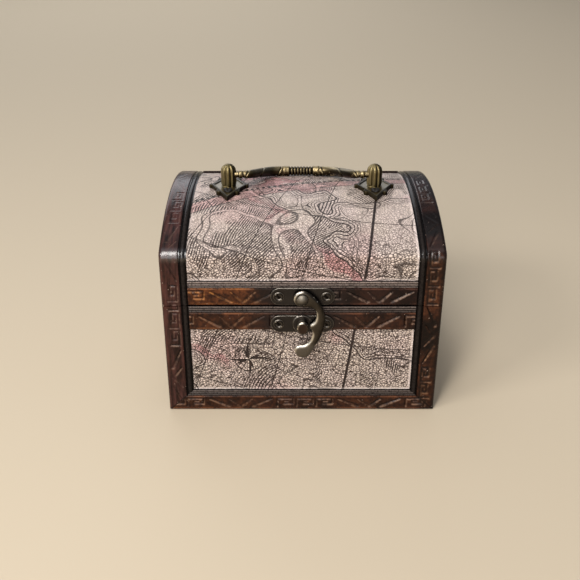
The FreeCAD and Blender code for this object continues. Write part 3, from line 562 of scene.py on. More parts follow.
def map_material(name, axes, drift, half_sheet, foot):
    """Printed leatherette with an invented old chart. Axes are the object's axes along the sheet, or None
    where the mesh has its own sheet coordinates."""
    g = Graph(name)
    body_place = g.split(g.object_place())
    if axes is None:
        place = g.vector("SCALE", {0: g.node("UVMap", {}, uv_map="sheet"), "Scale": sheet_unit})
    else:
        across, up = axes
        place = g.node("CombineXYZ", {0: body_place[across], 1: body_place[up]})
    u, v, _ = g.split(place)

    def line(distance, half_line):
        """1 on a line, from the distance to its middle."""
        return g.ramp(distance, half_line * (1 + line_soft_share), half_line * (1 - line_soft_share))

    def within(value, start, full, fading, end):
        """1 between full and fading, 0 before the start and past the end."""
        return g.ramp(value, start, full) * g.ramp(value, end, fading)

    def far_off(across, up):
        return g.math("SQRT", across * across + up * up)

    def polar(centre_u, centre_v):
        """Distance from a point, and the angle around it in degrees."""
        du, dv = u - centre_u, v - centre_v
        return far_off(du, dv), g.math("ARCTAN2", dv, du) * (180 / math.pi)

    def arc_length(degrees, radius):
        return degrees * (radius * (math.pi / 180))

    def spaced(value, spacing, offset=0.0):
        """Distance to the nearest of evenly spaced values."""
        return g.math("PINGPONG", value + offset, spacing / 2)

    def land(shift_u, shift_v):
        """Heights of an invented land."""
        return g.noise(g.moved(place, shift=(drift[0] + shift_u, drift[1] + shift_v, 0)), 0.014, 3.0)

    # Coast and the water lines beside it, at distances worked out from the land's height and slope
    level = land(0.0, 0.0)
    slope = far_off(land(slope_probe, 0.0) - level, land(0.0, slope_probe) - level) / slope_probe
    shore = (level - coast_level_share) / (slope + least_slope)
    coast = line(abs(shore), coast_line)
    water = line(spaced(shore, water_spacing), water_line) * within(shore, *sea_reach)
    shore_tint = within(shore, *tint_reach)

    # Hatched hills: patches of parallel strokes, each patch with its own slant, and pale lanes between them
    bowed = g.swayed(place, 0.02, 1.0, hill_bow)
    bowed_u, bowed_v, _ = g.split(bowed)
    blob = g.noise(g.moved(bowed, (1.0, 0.55, 0.0), (0, 0, 0.7)), 0.06, 3.0)
    hills = g.ramp(blob - g.ramp(v, *hill_heights) * 0.13, 0.42, 0.46)
    lane = abs(g.noise(bowed, 0.03, 1.0) - 0.5)
    slant = (g.noise(place, 0.025, 1.0) > 0.5) * 0.45 + 0.75
    lean = bowed_u * g.math("SINE", slant) - bowed_v * g.math("COSINE", slant)
    shaky = lean + (g.noise(place, 0.12, 3.0, 0.6) - 0.5) * hatch_shake
    weight = g.noise(place, 0.22, 2.0) * 0.5 - 0.02
    strokes = g.ramp(spaced(shaky, hatch_spacing) - weight, 0.06, -0.06)
    hatching = strokes * hills * g.ramp(lane, 0.014, 0.02) * g.ramp(shore, -1.0, 0.6)
    roads = line(abs(lane - 0.017), 0.0035) * 0.8

    # Graticule: arcs around a far pole and rays from it, every sixth ray thick
    far, angle = polar(*graticule_pole)
    arcs = line(spaced(far, *arc_spacing), graticule_line)
    rays = line(arc_length(spaced(angle, *ray_spacing), far), graticule_line)
    thick_rays = line(arc_length(spaced(angle, *thick_ray_spacing), far), thick_ray_line)

    # Graduated band, tinted, with ticks along it
    reach, bearing = polar(*band_middle)
    in_band = within(reach, *band_reach)
    band_edge = g.most(*[line(abs(reach - radius), half_line) for radius, half_line in band_lines])
    ticks = within(reach, *tick_reach) * g.ramp(g.math("SINE", bearing * tick_rate), -0.05, 0.05)
    posts = in_band * line(spaced(bearing, band_post_angle) * band_degree, band_post_line)

    # Wind rose on the front, with fine rays out of it
    out, turn = polar(*rose_middle)
    spikes = [length - spaced(turn, *spacing) * loss for length, loss, spacing in rose_spikes]
    star_edge = g.most(*spikes) - out
    half_dark = g.math("SINE", turn * (4 * math.pi / 180)) > 0.0
    star = g.most(
        line(abs(star_edge), rose_line),
        (star_edge > 0.0) * half_dark,
        line(abs(out - rose_ring), rose_ring_line),
    )
    rose_rays = line(arc_length(spaced(turn, rose_ray_angle), out), rose_ray_line)
    rose_rays = rose_rays * within(out, *rose_ray_reach)

    fine_ink = g.most(coast, water, hatching, roads, arcs, rays, band_edge, ticks, posts, rose_rays)
    fading = g.ramp(g.noise(place, 0.7, 3.0, 0.6), 0.2, 0.55) * 0.32 + 0.68
    ink = g.most(fine_ink * fading, star, thick_rays)

    # Pebble grain of the leatherette: pale cells with dark cracks between them, partly printed colour and
    # partly painted shade in the crevices, weaker towards the top
    grain_place = g.moved(g.swayed(place, 0.9, 2.0, pebble_sway), (0.86, 1.17, 1.0))
    inputs = {"Vector": grain_place, "Scale": 0.9}
    pebble = g.node("TexVoronoi", inputs, "Distance", feature="DISTANCE_TO_EDGE")
    uneven = g.ramp(g.noise(place, 0.8, 2.0), 0.3, 0.6) * 0.25 + 0.75
    # weaker: the cracks' painted shade, full low down on the upright faces and weaker over the top of the lid
    weaker = g.ramp(body_place[2], *crack_heights) * 0.45 + 0.55
    crack = g.ramp(pebble, 0.2, 0.05) * uneven * weaker

    # Pale margin beside the trim: along the right edge and above the foot, more faintly along the left
    wide, narrow = margin_reach
    margin = g.most(
        g.ramp(u, half_sheet - wide, half_sheet - narrow),
        g.ramp(u, wide - half_sheet, narrow - half_sheet) * left_margin_share,
        g.ramp(v, foot + wide, foot + narrow),
    )
    blush = g.ramp(g.noise(g.moved(place, shift=(90.0, 4.0, 0)), 0.02, 2.0), 0.5, 0.6)
    colour = g.layered(
        (220, 202, 188),
        (g.ramp(g.noise(place, 0.05, 3.0, 0.55), 0.35, 0.65), (225, 205, 195)),
        (margin * 0.5, (236, 220, 213)),
        (blush * 0.5, (224, 188, 182)),
        (shore_tint * blush * 0.65, (196, 130, 132)),
        (in_band * 0.8, (220, 176, 170)),
        (ink * (margin * -0.25 + 1.0), (27, 20, 18)),
        # crack colour: partly printed dark crevices, partly painted shade in them
        (crack * (margin * -0.75 + 1.0), (50, 37, 32)),
    )
    return g.finish(
        Base_Color=colour, Roughness=0.5, Normal=g.bump(g.ramp(pebble, 0.0, 0.4), pebble_height, 0.9),
        Specular_IOR_Level=0.25,
    )


def plain_material(name, dark, light, scale, rough, grain_height, sheen=0.0, gloss=0.5):
    """A surface with two close colours and a fine grain."""
    g = Graph(name)
    place = g.object_place()
    cloud = g.noise(place, scale, 5.0, 0.65)
    fine = g.noise(place, scale * 14, 3.0, 0.6)
    return g.finish(
        Base_Color=g.mix((cloud + fine) * 0.5, dark, light), Roughness=rough,
        Normal=g.bump(fine, grain_height, 0.6), Sheen_Weight=sheen, Specular_IOR_Level=gloss,
    )


def wood_material(name):
    """Dark stained board, with its grain along the chest."""
    g = Graph(name)
    grain = g.noise(g.moved(g.object_place(), (0.06, 0.9, 0.9)), 0.9, 5.0, 0.6, 0.4)
    colour = g.mix(g.ramp(grain, 0.3, 0.7), (46, 30, 22), (84, 56, 38))
    return g.finish(Base_Color=colour, Roughness=0.55, Normal=g.bump(grain, 0.2, 0.4))


makers = (
    (trim_material, {"pressed_trim": ()}), (wood_material, {"stained_board": ()}),
    (iron_material, {"dark_screw": ()}), (brass_material, metals), (plain_material, plains),
    (map_material, charts),
)
looks = {name: make(name, *values) for make, table in makers for name, values in table.items()}
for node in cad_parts.values():
    for slot in node.material_slots:
        slot.material = looks[slot_looks[slot.material.name.split(".")[0]]]
for look, names in own_looks.items():
    for name in names:
        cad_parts[name].material_slots[0].material = looks[look]


# Mesh building


def new_object(name, data):
    """An object in the scene for some data."""
    made = bpy.data.objects.new(name, data)
    bpy.context.scene.collection.objects.link(made)
    return made


def mesh_object(name, points, faces, material, sharp_angle=bar_sharp_angle):
    """A new object from points in millimetres."""
    mesh = bpy.data.meshes.new(name)
    mesh.from_pydata((np.asarray(points) * MM).tolist(), [], faces)
    mesh.validate()
    mesh.shade_smooth()
    mesh.set_sharp_from_angle(angle=math.radians(sharp_angle))
    mesh.materials.append(material)
    return new_object(name, mesh)


def stand_in(made, body, node):
    """Makes an object ride on a body in the place of a CAD node."""
    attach(made, body)
    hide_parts(node)


def mark_points(mesh, marks):
    """Keeps values of a mesh's points as attributes, for its material."""
    for name, values in marks.items():
        layer = mesh.attributes.new(name, "FLOAT", "POINT")
        layer.data.foreach_set("value", np.asarray(values, np.float32).ravel())


def read_rows(items, name, width, kind=float):
    """A property of all items of a mesh, as rows of numbers."""
    values = np.empty(len(items) * width, kind)
    items.foreach_get(name, values)
    return values.reshape(-1, width)


def ring_quads(number):
    """The quads between rows of point numbers, each row a closed ring."""
    after = np.roll(number, -1, axis=1)
    return np.stack([number[:-1], after[:-1], after[1:], number[1:]], axis=-1).reshape(-1, 4)


def swept(name, rows, material, body, node):
    """A closed bar from its cross sections, rows of points in millimetres. It stands for a CAD node."""
    points = rows.reshape(-1, 3)
    number = np.arange(len(points)).reshape(rows.shape[:2])
    quads = ring_quads(number)
    first, second, third, fourth = (points[quads[:, corner]] for corner in range(4))
    volume = np.sum(first * (np.cross(second, third) + np.cross(third, fourth)))
    faces = quads.tolist() + [number[0][::-1].tolist(), number[-1].tolist()]
    if volume < 0:
        faces = [face[::-1] for face in faces]
    made = mesh_object(name, points, faces, material)
    stand_in(made, body, node)
    return made


def trim_piece(name, rows, body, marks):
    """A bar of trim in the place of the node of that name."""
    made = swept("trim_" + name, rows, looks["pressed_trim"], body, name)
    mark_points(made.data, marks)


def smooth(value, low, high):
    """0 below low, 1 above high, smooth between them."""
    share = np.clip((value - low) / (high - low), 0, 1)
    return share * share * (3 - 2 * share)


def quarter_turn(cells):
    """The steps of a rounded edge of radius 1, from its first face to its second: distances from both."""
    turns = np.linspace(0, math.pi / 2, cells + 1)
    return list(zip(1 - np.cos(turns), 1 - np.sin(turns)))


def segment_distance(x, y, start, end, widths=(1.0, 1.0)):
    """Distance to a segment, in terms of the stroke's width at its start and end."""
    run = np.subtract(end, start)
    share = np.clip(((x - start[0]) * run[0] + (y - start[1]) * run[1]) / (run @ run), 0, 1)
    far = np.hypot(x - start[0] - share * run[0], y - start[1] - share * run[1])
    return far / (widths[0] + (widths[1] - widths[0]) * share)


def from_chevron(along):
    """The distance from the middle of the nearest chevron group, negative before it."""
    return (along + pattern_period / 2) % pattern_period - pattern_period / 2


def channels(along, across, field, key_share):
    """How deep the pattern is pressed, 0 to 1, at a distance along a strip and across its field."""
    low, high = pattern_rim, field - pattern_rim
    aside = np.abs(from_chevron(along))
    near = np.minimum(*[
        segment_distance(aside, across, (foot, low), (head, high), stroke_width_shares)
        for foot, head in chevron_strokes
    ])
    key_zone = pattern_period - 2 * chevron_half
    key_length = key_zone / key_count
    past = (along - chevron_half) % pattern_period
    within = past % key_length
    corners = [(run * key_length, low + rise * (high - low)) for run, rise in key_shares]
    key_near = np.full(along.shape, pattern_period)
    for start, end in zip(corners, corners[1:]):
        key_near = np.minimum(key_near, segment_distance(within, across, start, end))
    near = np.where(past < key_zone, key_near / key_share, near)
    sunk = 1 - np.clip((near - (channel_width - channel_edge) / 2) / channel_edge, 0, 1)
    uneven = np.sin(along / fade_lengths[0]) * np.sin(along / fade_lengths[1] + across / fade_lengths[2])
    sunk = sunk * (1 - fade_share + fade_share * smooth(uneven, -fade_share, fade_share))
    return np.where((across > 0) & (across < field), sunk, 0.0)


def pressed(along, across, field, way, key_share):
    """The pattern's depth, its flanks facing the light and those facing away. Way points to the light."""
    sunk = channels(along, across, field, key_share)
    step = channel_edge / 2 / math.sqrt(2)
    ahead, behind = (
        channels(along + way[0] * shift, across + way[1] * shift, field, key_share) for shift in (step, -step)
    )
    turned = np.where((across > 0) & (across < field), ahead - behind, 0.0)
    return sunk, np.clip(turned, 0, 1) * (1 - flank_fade_share * sunk), np.clip(-turned, 0, 1)


def wear(across, field):
    """1 on the field's rims."""
    rim = np.minimum(np.abs(across), np.abs(field - across))
    return 1 - smooth(rim, 0, rim_wear_reach)


def ledge(edge):
    """The rounded edge of a field that ends at a distance: pairs of distance and depth."""
    steps = quarter_turn(cells_in_ledge)[1:]
    return [(edge - ledge_round * short, ledge_round * drop) for drop, short in steps]


def leg_profile():
    """A strip's face from its rounded edge inwards: distance, depth, tone and whether it is field."""
    end = groove_start - ledge_round
    count = round((end - strip_round) / cell)
    field = [(a, 0.0, 1.0, True) for a in np.linspace(strip_round, end, count)]
    field += [(a, depth, 1.0, False) for a, depth in ledge(groove_start)]
    groove = [(groove_start, groove_depth, 0.0, False), (groove_end, groove_depth, 0.0, False)]
    bead = []
    for share in np.linspace(0, 1, cells_in_bead + 1)[1:]:
        rise = 4 * share * (1 - share)
        level = groove_depth + (lip_drop - groove_depth) * share
        drop = level - rise * ((groove_depth + lip_drop) / 2 - bead_drop)
        bead.append((groove_end + share * (bead_end - groove_end), drop, 0.0, False))
    lip = [(strip_width, lip_drop, 0.0, False)]
    return field + groove + bead + lip


def strip_section():
    """A strip's closed section: inward distances p from the end and q from the front, tone, distance across
    the field or -1, and leg (0 on the end, 1 on the front, 2 on the edge and the back)."""
    leg = leg_profile()
    side = [(depth, a, tone, a if field else -1, 0) for a, depth, tone, field in reversed(leg)]
    arc = [(strip_round * p, strip_round * q, 1.0, -1, 2) for p, q in quarter_turn(cells_in_round)[1:-1]]
    front = [(a, depth, tone, a if field else -1, 1) for a, depth, tone, field in leg]
    inside = ((strip_width, trim_depth), (trim_depth, trim_depth), (trim_depth, strip_width))
    back = [(p, q, 0.0, -1, 2) for p, q in inside]
    return np.array(side + arc + front + back).T


def spread(section, count):
    """Each part of a section repeated for a number of rows."""
    return [np.repeat(part[None, :], count, axis=0) for part in section]


def strip_relief(side_x, strip, along, way, cut=1.0):
    """Presses the pattern into a strip's rows, to a share of its depth. Gives the moved distances p and q,
    and the marks of the points."""
    p, q, tone, across, leg = strip
    spot = np.where(across >= 0, across - field_low, -1.0)
    cut = cut * strip_cut_shares[side_x]
    pattern = pressed(along, spot, field_width, way, strip_key_shares[side_x])
    # lit and shade: painted highlight and painted shade on the flanks facing towards and away from the light
    sunk, lit, shade = [cut * value for value in pattern]
    lit = lit * strip_lit_shares[side_x]
    p = p + channel_depth * sunk * (leg == 0)
    q = q + channel_depth * sunk * (leg == 1)
    worn = np.where(spot >= 0, edge_wear_share * wear(spot, field_width), 0.0)
    worn = np.where((tone > 0) & (across < 0), edge_wear_share, worn)
    depth = np.where(leg == 0, p, q)
    # crest_highlight: painted highlight along the top of the bead
    crest_highlight = bead_lit_share * np.clip(1 - (depth - bead_drop) / (groove_depth - bead_drop), 0, 1)
    recess = strip_deep_shares[side_x] * smooth(sunk, *recess_shares)
    soot = strip_soot_shares[side_x] * (1 - smooth(np.abs(from_chevron(along)), *soot_reach))
    outer = strip_edge_shares[side_x] * np.where(leg == 0, 0.0, 1 - smooth(p, *edge_dark_reach))
    deep = np.maximum(np.maximum(recess, soot), outer) * (1 - lit)
    marks = {
        "tone": tone, "worn": worn * (1 - sunk), "lit": lit, "shade": shade, "crest_highlight": crest_highlight * (leg < 2),
        "rose": np.full(p.shape, strip_rose_shares[side_x]), "deep": deep,
    }
    return p, q, marks


section = strip_section()


def corner_piece(name, side_x, side_y, middle):
    """A base corner strip, mitred to the bottom rails, with a chevron's middle at a height."""
    count = round(base_height / cell) + 1
    strip = spread(section, count)
    start = np.maximum(*strip[:2]) * bottom_rail_height / strip_width
    z = start + (base_height - start) * np.linspace(0, 1, count)[:, None]
    way = (light_up, -side_x * side_y * light_aside)
    p, q, marks = strip_relief(side_x, strip, z - middle, way)
    by_mitre = mitre_dark_share * (1 - smooth(z - start, *mitre_reach))
    marks["deep"] = np.maximum(marks["deep"], by_mitre)
    marks["warm"] = np.full(p.shape, strip_warm_shares[side_x])
    rows = np.stack([side_x * (half_width - p), side_y * (half_depth - q), z], axis=-1)
    trim_piece(name, rows, "base", marks)


for (end, side), middle in corner_middles.items():
    corner_piece(f"corner_{end}_{side}", signs[side], signs[end], middle)


# Lid: its outline up the front, around the kink and over the arch, and down the back likewise


def lid_path(inset, rounding, foot):
    """The lid's outline moved in by insets, as y and z, rows by points."""
    counts = (upright_rows, cells_in_kink, arch_rows)
    part = np.append(np.repeat(range(3), counts), 2)
    share = np.concatenate([np.linspace(0, 1, count + 1)[:-1] for count in counts] + [[1]])
    part = np.concatenate([part, part[-2::-1]])[:, None]
    share = np.concatenate([share, share[-2::-1]])[:, None]
    side = np.sign(np.arange(len(share)) - len(share) // 2)[:, None]
    round_here = np.maximum(rounding - inset, least_round)
    arch_here = arch_radius - inset
    centre_y = half_depth - inset - round_here
    centre_z = arch_centre + np.sqrt((arch_here - round_here) ** 2 - centre_y**2)
    lean = np.arcsin(centre_y / (arch_here - round_here))
    turn = math.pi / 2 + (lean - math.pi / 2) * share
    angle = lean * (1 - share)
    upright = (half_depth - inset + 0 * share, foot + (centre_z - foot) * share)
    kink = (centre_y + round_here * np.sin(turn), centre_z + round_here * np.cos(turn))
    arch = (arch_here * np.sin(angle), arch_centre + arch_here * np.cos(angle))
    pick = [part == number for number in range(3)]
    y, z = (np.select(pick, choices) for choices in zip(upright, kink, arch))
    return side * y, z


def run_along(y, z):
    """The distance passed at each point of a path."""
    return np.append(0, np.cumsum(np.hypot(np.diff(y[:, 0]), np.diff(z[:, 0]))))


path_run = run_along(*lid_path(np.zeros((1, 1)), kink_round, lid_bottom))
run_to_kink = path_run[upright_rows + cells_in_kink // 2]


def band_piece(name, side_x, middle):
    """The strip around one end of the lid, with a chevron's middle at a distance along it."""
    strip = spread(section, len(path_run))
    flat = np.zeros(strip[0].shape)
    from_end = np.minimum(path_run, path_run[-1] - path_run)[:, None] + flat
    fold = fold_shares[side_x] * (1 - smooth(np.abs(from_end - run_to_kink), *fold_reach))
    on_arch = smooth(from_end, run_to_kink - fold_reach[1], run_to_kink + fold_reach[1])
    cut = (1 - fold_calm_share * fold) * (1 + (arch_cut_shares[side_x] - 1) * on_arch)
    along = (path_run - middle)[:, None] + flat
    p, q, marks = strip_relief(side_x, strip, along, (light_up, side_x * light_aside), cut)
    upright_warm = strip_warm_shares[side_x]
    marks["warm"] = upright_warm + (arch_warm_shares[side_x] - upright_warm) * on_arch
    marks["fold"] = fold
    y, z = lid_path(q, kink_round, lid_bottom)
    trim_piece(name, np.stack([side_x * (half_width - p), y, z], axis=-1), "lid", marks)


for side, middle in band_middles.items():
    band_piece("lid_band_" + side, signs[side], middle)


def rail_section(height):
    """A rail's closed section from its lower edge up, as rise, depth, tone and distance across the field or
    -1, and the field's width."""
    points = [(0.0, trim_depth, 1.0, -1)]
    arc = quarter_turn(cells_in_round)
    points += [(rail_round * rise, rail_round * depth, 1.0, -1) for rise, depth in arc]
    top = height - reed_count * reed_width
    end = top - ledge_round
    for rise in np.linspace(rail_round, end, round((end - rail_round) / cell))[1:]:
        points.append((rise, 0.0, 1.0, rise - rail_round))
    points += [(rise, depth, 1.0, -1) for rise, depth in ledge(top)]
    points.append((top, reed_valley, 0.0, -1))
    for number in range(reed_count):
        for share in np.linspace(0, 1, cells_in_reed + 1)[1:]:
            drop = reed_valley - 4 * share * (1 - share) * (reed_valley - reed_crest)
            points.append((top + (number + share) * reed_width, drop, 0.0, -1))
    points.append((height, trim_depth, 0.0, -1))
    return np.array(points).T, end - rail_round


def rail_piece(row, side):
    """A rail of one row along a side. Bottom rails are mitred, and the others end at the strips."""
    body, low, height = rails[row]
    mitred = row == "bottom"
    lengthwise = side in ("front", "back")
    half_length = (half_width if lengthwise else half_depth) - (0 if mitred else strip_width)
    rail, field = rail_section(height)
    count = round(2 * half_length / cell) + 1
    rise, depth, tone, across = spread(rail, count)
    share = np.linspace(0, 1, count)[:, None]
    shorter = np.where(mitred, np.maximum(rise * strip_width / bottom_rail_height, depth), 0.0)
    reach = half_length - shorter
    along = reach * (2 * share - 1)
    way = (-light_aside, light_up)
    # lit and shade: painted highlight and painted shade on the flanks of the strokes
    sunk, lit, shade = pressed(along - rail_middles[row], across, field, way, rail_key_share)
    edge_worn = np.where(rise > rail_round, 1.0, rail_foot_wear_share)
    worn = np.where(across >= 0, wear(across, field), np.where(tone > 0, edge_worn, 0.0))
    # Painted highlight on the tops of the reeds, fading towards the lower reeds and strongest on the lid
    crest_highlight = np.clip((reed_valley - depth) / (reed_valley - reed_crest), 0, 1) ** reed_sharpness
    fading = 1 - reed_fade_share * np.clip((height - rise) / (reed_count * reed_width), 0, 1)
    left, right = rail_warm_shares[row]
    by_mitre = np.where(mitred, mitre_dark_share * (1 - smooth(reach - np.abs(along), *mitre_reach)), 0.0)
    by_latch = side == "front" and not mitred
    marks = {
        "tone": tone, "worn": worn * (1 - sunk), "lit": rail_stroke_shares[row] * lit, "shade": shade,
        "crest_highlight": crest_highlight * fading * rail_lit_shares[row],
        "warm": left + (right - left) * smooth(share, *warm_fade_shares) + 0 * rise,
        "deep": np.maximum(rail_deep_share * sunk, by_mitre),
        "smoke": np.where(by_latch, 1 - smooth(np.abs(along), *smoke_reach), 0.0),
    }
    sign = signs[side]
    depth = depth + channel_depth * sunk
    if lengthwise:
        x, y = -sign * along, sign * (half_depth - depth)
    else:
        x, y = sign * (half_width - depth), sign * along
    trim_piece(row + "_rail_" + side, np.stack([x, y, low + rise], axis=-1), body, marks)


for side in signs:
    for row in rails:
        rail_piece(row, side)


def cover_piece():
    """The chart bent over the lid with a soft fold, with the place of its points on the flat sheet."""
    insets = (map_depth, map_back)
    face, back = (lid_path(np.full((1, 1), inset), cover_round, lid_map_foot) for inset in insets)
    edges = ((-strip_inner, face), (strip_inner, face), (strip_inner, back), (-strip_inner, back))
    rows = np.stack([np.hstack([np.full(y.shape, x), y, z]) for x, (y, z) in edges], axis=1)
    made = swept("chart_lid_cover", rows, looks["chart_lid"], "lid", "lid_map")
    up = lid_map_foot + run_along(*face)[:, None] + np.zeros(len(edges))
    place = np.stack([rows[..., 0], up], axis=-1).reshape(-1, 2) / sheet_unit
    corners = read_rows(made.data.loops, "vertex_index", 1, int)[:, 0]
    made.data.uv_layers.new(name="sheet").data.foreach_set("uv", place[corners].ravel())


cover_piece()


# Cast metal: softened copies of the CAD solids


def cast(node, body, voxel, passes, shape=None, **marks):
    """A copy of a node with its edges rounded as in a casting. Shape may move its points first. Each mark
    gives an attribute of the finished points: how dark or pale they are."""
    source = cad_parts[node]
    made = new_object("cast_" + node, source.data.copy())
    remesh = made.modifiers.new("remesh", "REMESH")
    remesh.mode = "VOXEL"
    remesh.voxel_size = voxel * MM
    remesh.use_smooth_shade = True
    done = bpy.data.meshes.new_from_object(made.evaluated_get(bpy.context.evaluated_depsgraph_get()))
    made.modifiers.clear()
    made.data = done
    points = read_rows(done.vertices, "co", 3) / MM
    normals = read_rows(done.vertices, "normal", 3)
    if shape is not None:
        points = shape(points, normals)
    ends = read_rows(done.edges, "vertices", 2, int)
    tails, heads = np.concatenate([ends, ends[:, ::-1]]).T
    count = len(points)
    degree = np.bincount(tails, minlength=count)
    for _ in range(passes):
        near = [np.bincount(tails, points[heads, axis], count) / degree for axis in range(3)]
        points = (points + np.stack(near, axis=-1)) / 2
    done.vertices.foreach_set("co", (points * MM).ravel())
    done.update()
    mark_points(done, {name: mark(points, normals) for name, mark in marks.items()})
    done.materials.clear()
    done.materials.append(source.material_slots[0].material)
    stand_in(made, body, node)


def swollen(reach, axes):
    """A shape that makes up, along some axes, for what the rounding takes off."""
    return lambda points, normals: points + reach * normals * axes


def bare_foot(points, normals):
    """How much paler the hook's foot is, towards the bottom of the hook."""
    above = points[:, 2] - points[:, 2].min()
    return foot_bare_share * (1 - smooth(above, *foot_bare_reach))


def fuller_stud(points, normals):
    """A taller stud that hangs lower."""
    x, y, z = points.T
    middle = (z.max() + z.min()) / 2
    return np.stack([x, y, middle - stud_sag + (z - middle) * stud_stretch_share], axis=-1)


def fluted(points, normals):
    """Fuller posts with deeper flutes, on narrower and longer plates."""
    x, y, z = points.T
    aside, behind = x - np.sign(x) * handle_x, y - handle_offset
    far = np.maximum(np.hypot(aside, behind), least_round)
    angle = np.arctan2(behind, aside) + math.pi / 2
    on_post = smooth(z, post_foot, post_foot + ledge_round) * (far < 2 * post_radius)
    groove = smooth(-np.cos(post_flutes * angle), 0, 1)
    grow = on_post * smooth(far, 0, post_radius) * (post_swell - flute_cut * groove)
    on_plate = smooth(far, post_radius, post_radius + ledge_round)
    shift_x = aside / far * grow + (plate_narrow_share - 1) * on_plate * aside
    shift_y = behind / far * grow + (plate_long_share - 1) * on_plate * behind
    return points + np.stack([shift_x, shift_y, 0 * grow], axis=-1)


def plate_place(points):
    """How far points lie aside of and behind a handle's middle, and the share of the way to its edge."""
    aside = np.abs(np.abs(points[:, 0]) - handle_x)
    behind = np.abs(points[:, 1] - handle_offset)
    out = aside / (plate_narrow_share * plate_width / 2) + behind / (plate_long_share * plate_length / 2)
    return aside, behind, out


def dark_rim(points, normals):
    """How dark the raised rim of a handle's plate is, and its pocket."""
    aside, behind, out = plate_place(points)
    on_plate = smooth(np.hypot(aside, behind), post_radius, post_radius + ledge_round)
    dark = np.maximum(plate_rim_dark_share * smooth(out, *plate_rim_shares), plate_pocket_share * on_plate)
    return dark * (points[:, 2] < post_foot + post_radius)


def pocket_sheen(points, normals):
    """Painted sheen on the pocket of a handle's plate beside the post, and a painted highlight in a line
    along its rim, both only where faces turn upwards.
    """
    aside, _, out = plate_place(points)
    beside = smooth(aside, post_radius - ledge_round, post_radius + ledge_round)
    pocket = pocket_bare_share * beside * (1 - smooth(out, *plate_rim_shares))
    rim = rim_bare_share * smooth(out, *rim_line_shares[:2]) * (1 - smooth(out, *rim_line_shares[2:]))
    return np.maximum(pocket, rim) * smooth(normals[:, 2], 0, 1)


def domed(points, normals):
    """Fuller handle screws with a slot along each head."""
    off_slot = np.abs(np.abs(points[:, 0]) - handle_x)
    slot = 1 - smooth(off_slot, handle_slot_width / 2, handle_slot_width)
    lift = (handle_head_lift - handle_slot_depth * slot) * smooth(normals[:, 2], 0, 1)
    return points + handle_head_swell * normals * (1, 1, 0) + lift[:, None] * (0, 0, 1)


def coil_cut(points, normals):
    """1 in the slanting cuts and in the gaps of the coil, for points of the bail."""
    x = points[:, 0]
    place = np.abs(x) + bail_cut_slant * normals[:, 2]
    near = np.min([np.abs(place - cut) for cut in bail_cuts], axis=0)
    cut = 1 - smooth(near, 0, bail_cut_width)
    from_gap = np.abs((x + bead_pitch) % bead_pitch - bead_pitch / 2)
    gap = 1 - (1 - coil_dark_share) * smooth(from_gap, 0, coil_gap_width)
    return np.where(np.abs(x) < (bead_count + 1) / 2 * bead_pitch, np.maximum(cut, gap), cut)


def ringed(points, normals):
    """A fuller bail with its cuts and the gaps of its coil deepened."""
    return points + (bail_swell - bail_cut_depth * coil_cut(points, normals))[:, None] * normals


def bail_patina(points, normals):
    """Dark cuts and gaps of the coil, and a dull stretch along each arm."""
    aside = np.abs(points[:, 0])
    starts = [smooth(aside, *arm_dark_starts[side_x]) for side_x in (-1, 1)]
    arm = np.where(points[:, 0] < 0, *starts) * (1 - smooth(aside, *arm_dark_end))
    return np.maximum(coil_cut(points, normals), arm_dark_share * arm)


def screw_heads(node, body):
    """Two ringed, slotted heads standing on a plate, in the place of its screws."""
    corners = np.array(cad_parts[node].bound_box) / MM
    low, high = corners.min(axis=0), corners.max(axis=0)
    turns = np.linspace(0, 2 * math.pi, head_turns + 1)[:-1]
    radii = np.append(np.linspace(0, head_radii[-1], head_rings), head_radii[-1])[:, None]
    proud = np.interp(radii, head_radii, head_levels)
    proud[-1] = -head_root
    aside, up = radii * np.cos(turns), radii * np.sin(turns)
    slot = 1 - smooth(np.abs(aside + up) / math.sqrt(2), head_slot_width / 2, head_slot_width)
    cut = head_slot_depth * slot * (1 - smooth(radii, *head_radii[1:3]))
    points, faces = [], []
    for middle in (low[0] + screw_head_radius, high[0] - screw_head_radius):
        number = len(points) + np.arange(aside.size).reshape(aside.shape)
        place = np.stack([middle + aside, low[1] - proud + cut, (low[2] + high[2]) / 2 + up], axis=-1)
        points += place.reshape(-1, 3).tolist()
        faces += ring_quads(number).tolist() + [number[-1].tolist()]
    made = mesh_object("head_" + node, points, faces, looks["screw_heads"], head_sharp_angle)
    stand_in(made, body, node)


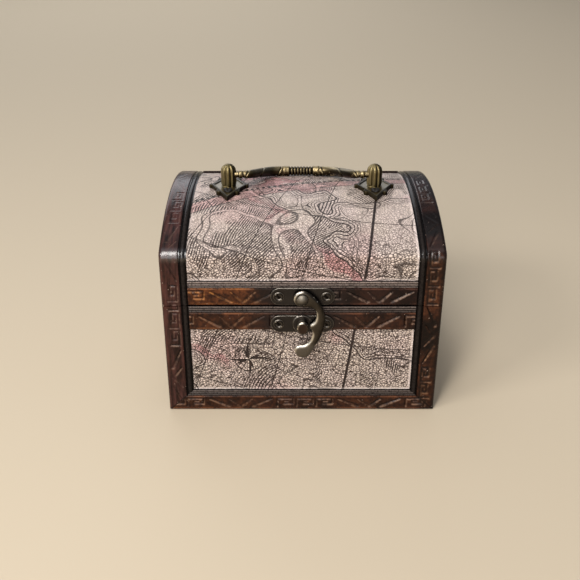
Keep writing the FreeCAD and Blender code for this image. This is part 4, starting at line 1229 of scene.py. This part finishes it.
screw_heads("latch_screws", "lid")
screw_heads("keeper_screws", "base")
cast("hook", "hook", hook_voxel, hook_passes, swollen(hook_swell, (1, 0, 1)), bare=bare_foot)
cast("latch_plate", "lid", fine_voxel, plate_passes)
cast("keeper_plate", "base", fine_voxel, plate_passes)
cast("keeper_stud", "base", fine_voxel, plate_passes, fuller_stud)
cast("latch_rivet", "lid", fine_voxel, rivet_passes, swollen(rivet_swell, (1, 1, 1)))
cast("bail", "bail", handle_voxel, handle_passes, ringed, patina=bail_patina)
cast("handle_screws", "lid", fine_voxel, handle_passes, domed)
for side in ("left", "right"):
    cast(
        "handle_post_" + side, "lid", handle_voxel, handle_passes, fluted, patina=dark_rim, bare=pocket_sheen,
    )


# Studio: floor, soft lights and the camera


def ground():
    look = Graph("pale_floor").finish(Base_Color=rgb(floor_colour), Roughness=0.8, Specular_IOR_Level=0.2)
    points = [(x * floor_reach, y * floor_reach, 0) for x, y in ((-1, -1), (1, -1), (1, 1), (-1, 1))]
    mesh_object("floor", points, [(0, 1, 2, 3)], look)


def lamp(name, place, aim, size, watts, colour):
    """An area lamp, turned to the point it is aimed at."""
    data = bpy.data.lights.new(name, "AREA")
    data.shape = "RECTANGLE"
    data.size, data.size_y = (length * MM for length in size)
    data.energy = watts
    data.color = colour
    made = new_object(name, data)
    made.location = [value * MM for value in place]
    x, y, z = np.subtract(aim, place)
    made.rotation_euler = (math.atan2(math.hypot(x, y), -z), 0, math.atan2(y, x) - math.pi / 2)


ground()
for name, values in lamps.items():
    lamp(name, *values)

world = bpy.data.worlds.new("studio")
world.use_nodes = True
sky = next(node for node in world.node_tree.nodes if node.type == "BACKGROUND")
sky.inputs["Color"].default_value = sky_colour
sky.inputs["Strength"].default_value = sky_strength
bpy.context.scene.world = world
bpy.context.scene.view_settings.view_transform = "Standard"

camera_data = bpy.data.cameras.new("camera")
camera_data.sensor_width = camera_sensor
camera_data.lens = camera_lens
camera = new_object("camera", camera_data)
camera.location = [value * MM for value in camera_place]
camera.rotation_euler = (math.radians(camera_tilt), 0, 0)
bpy.context.scene.camera = camera
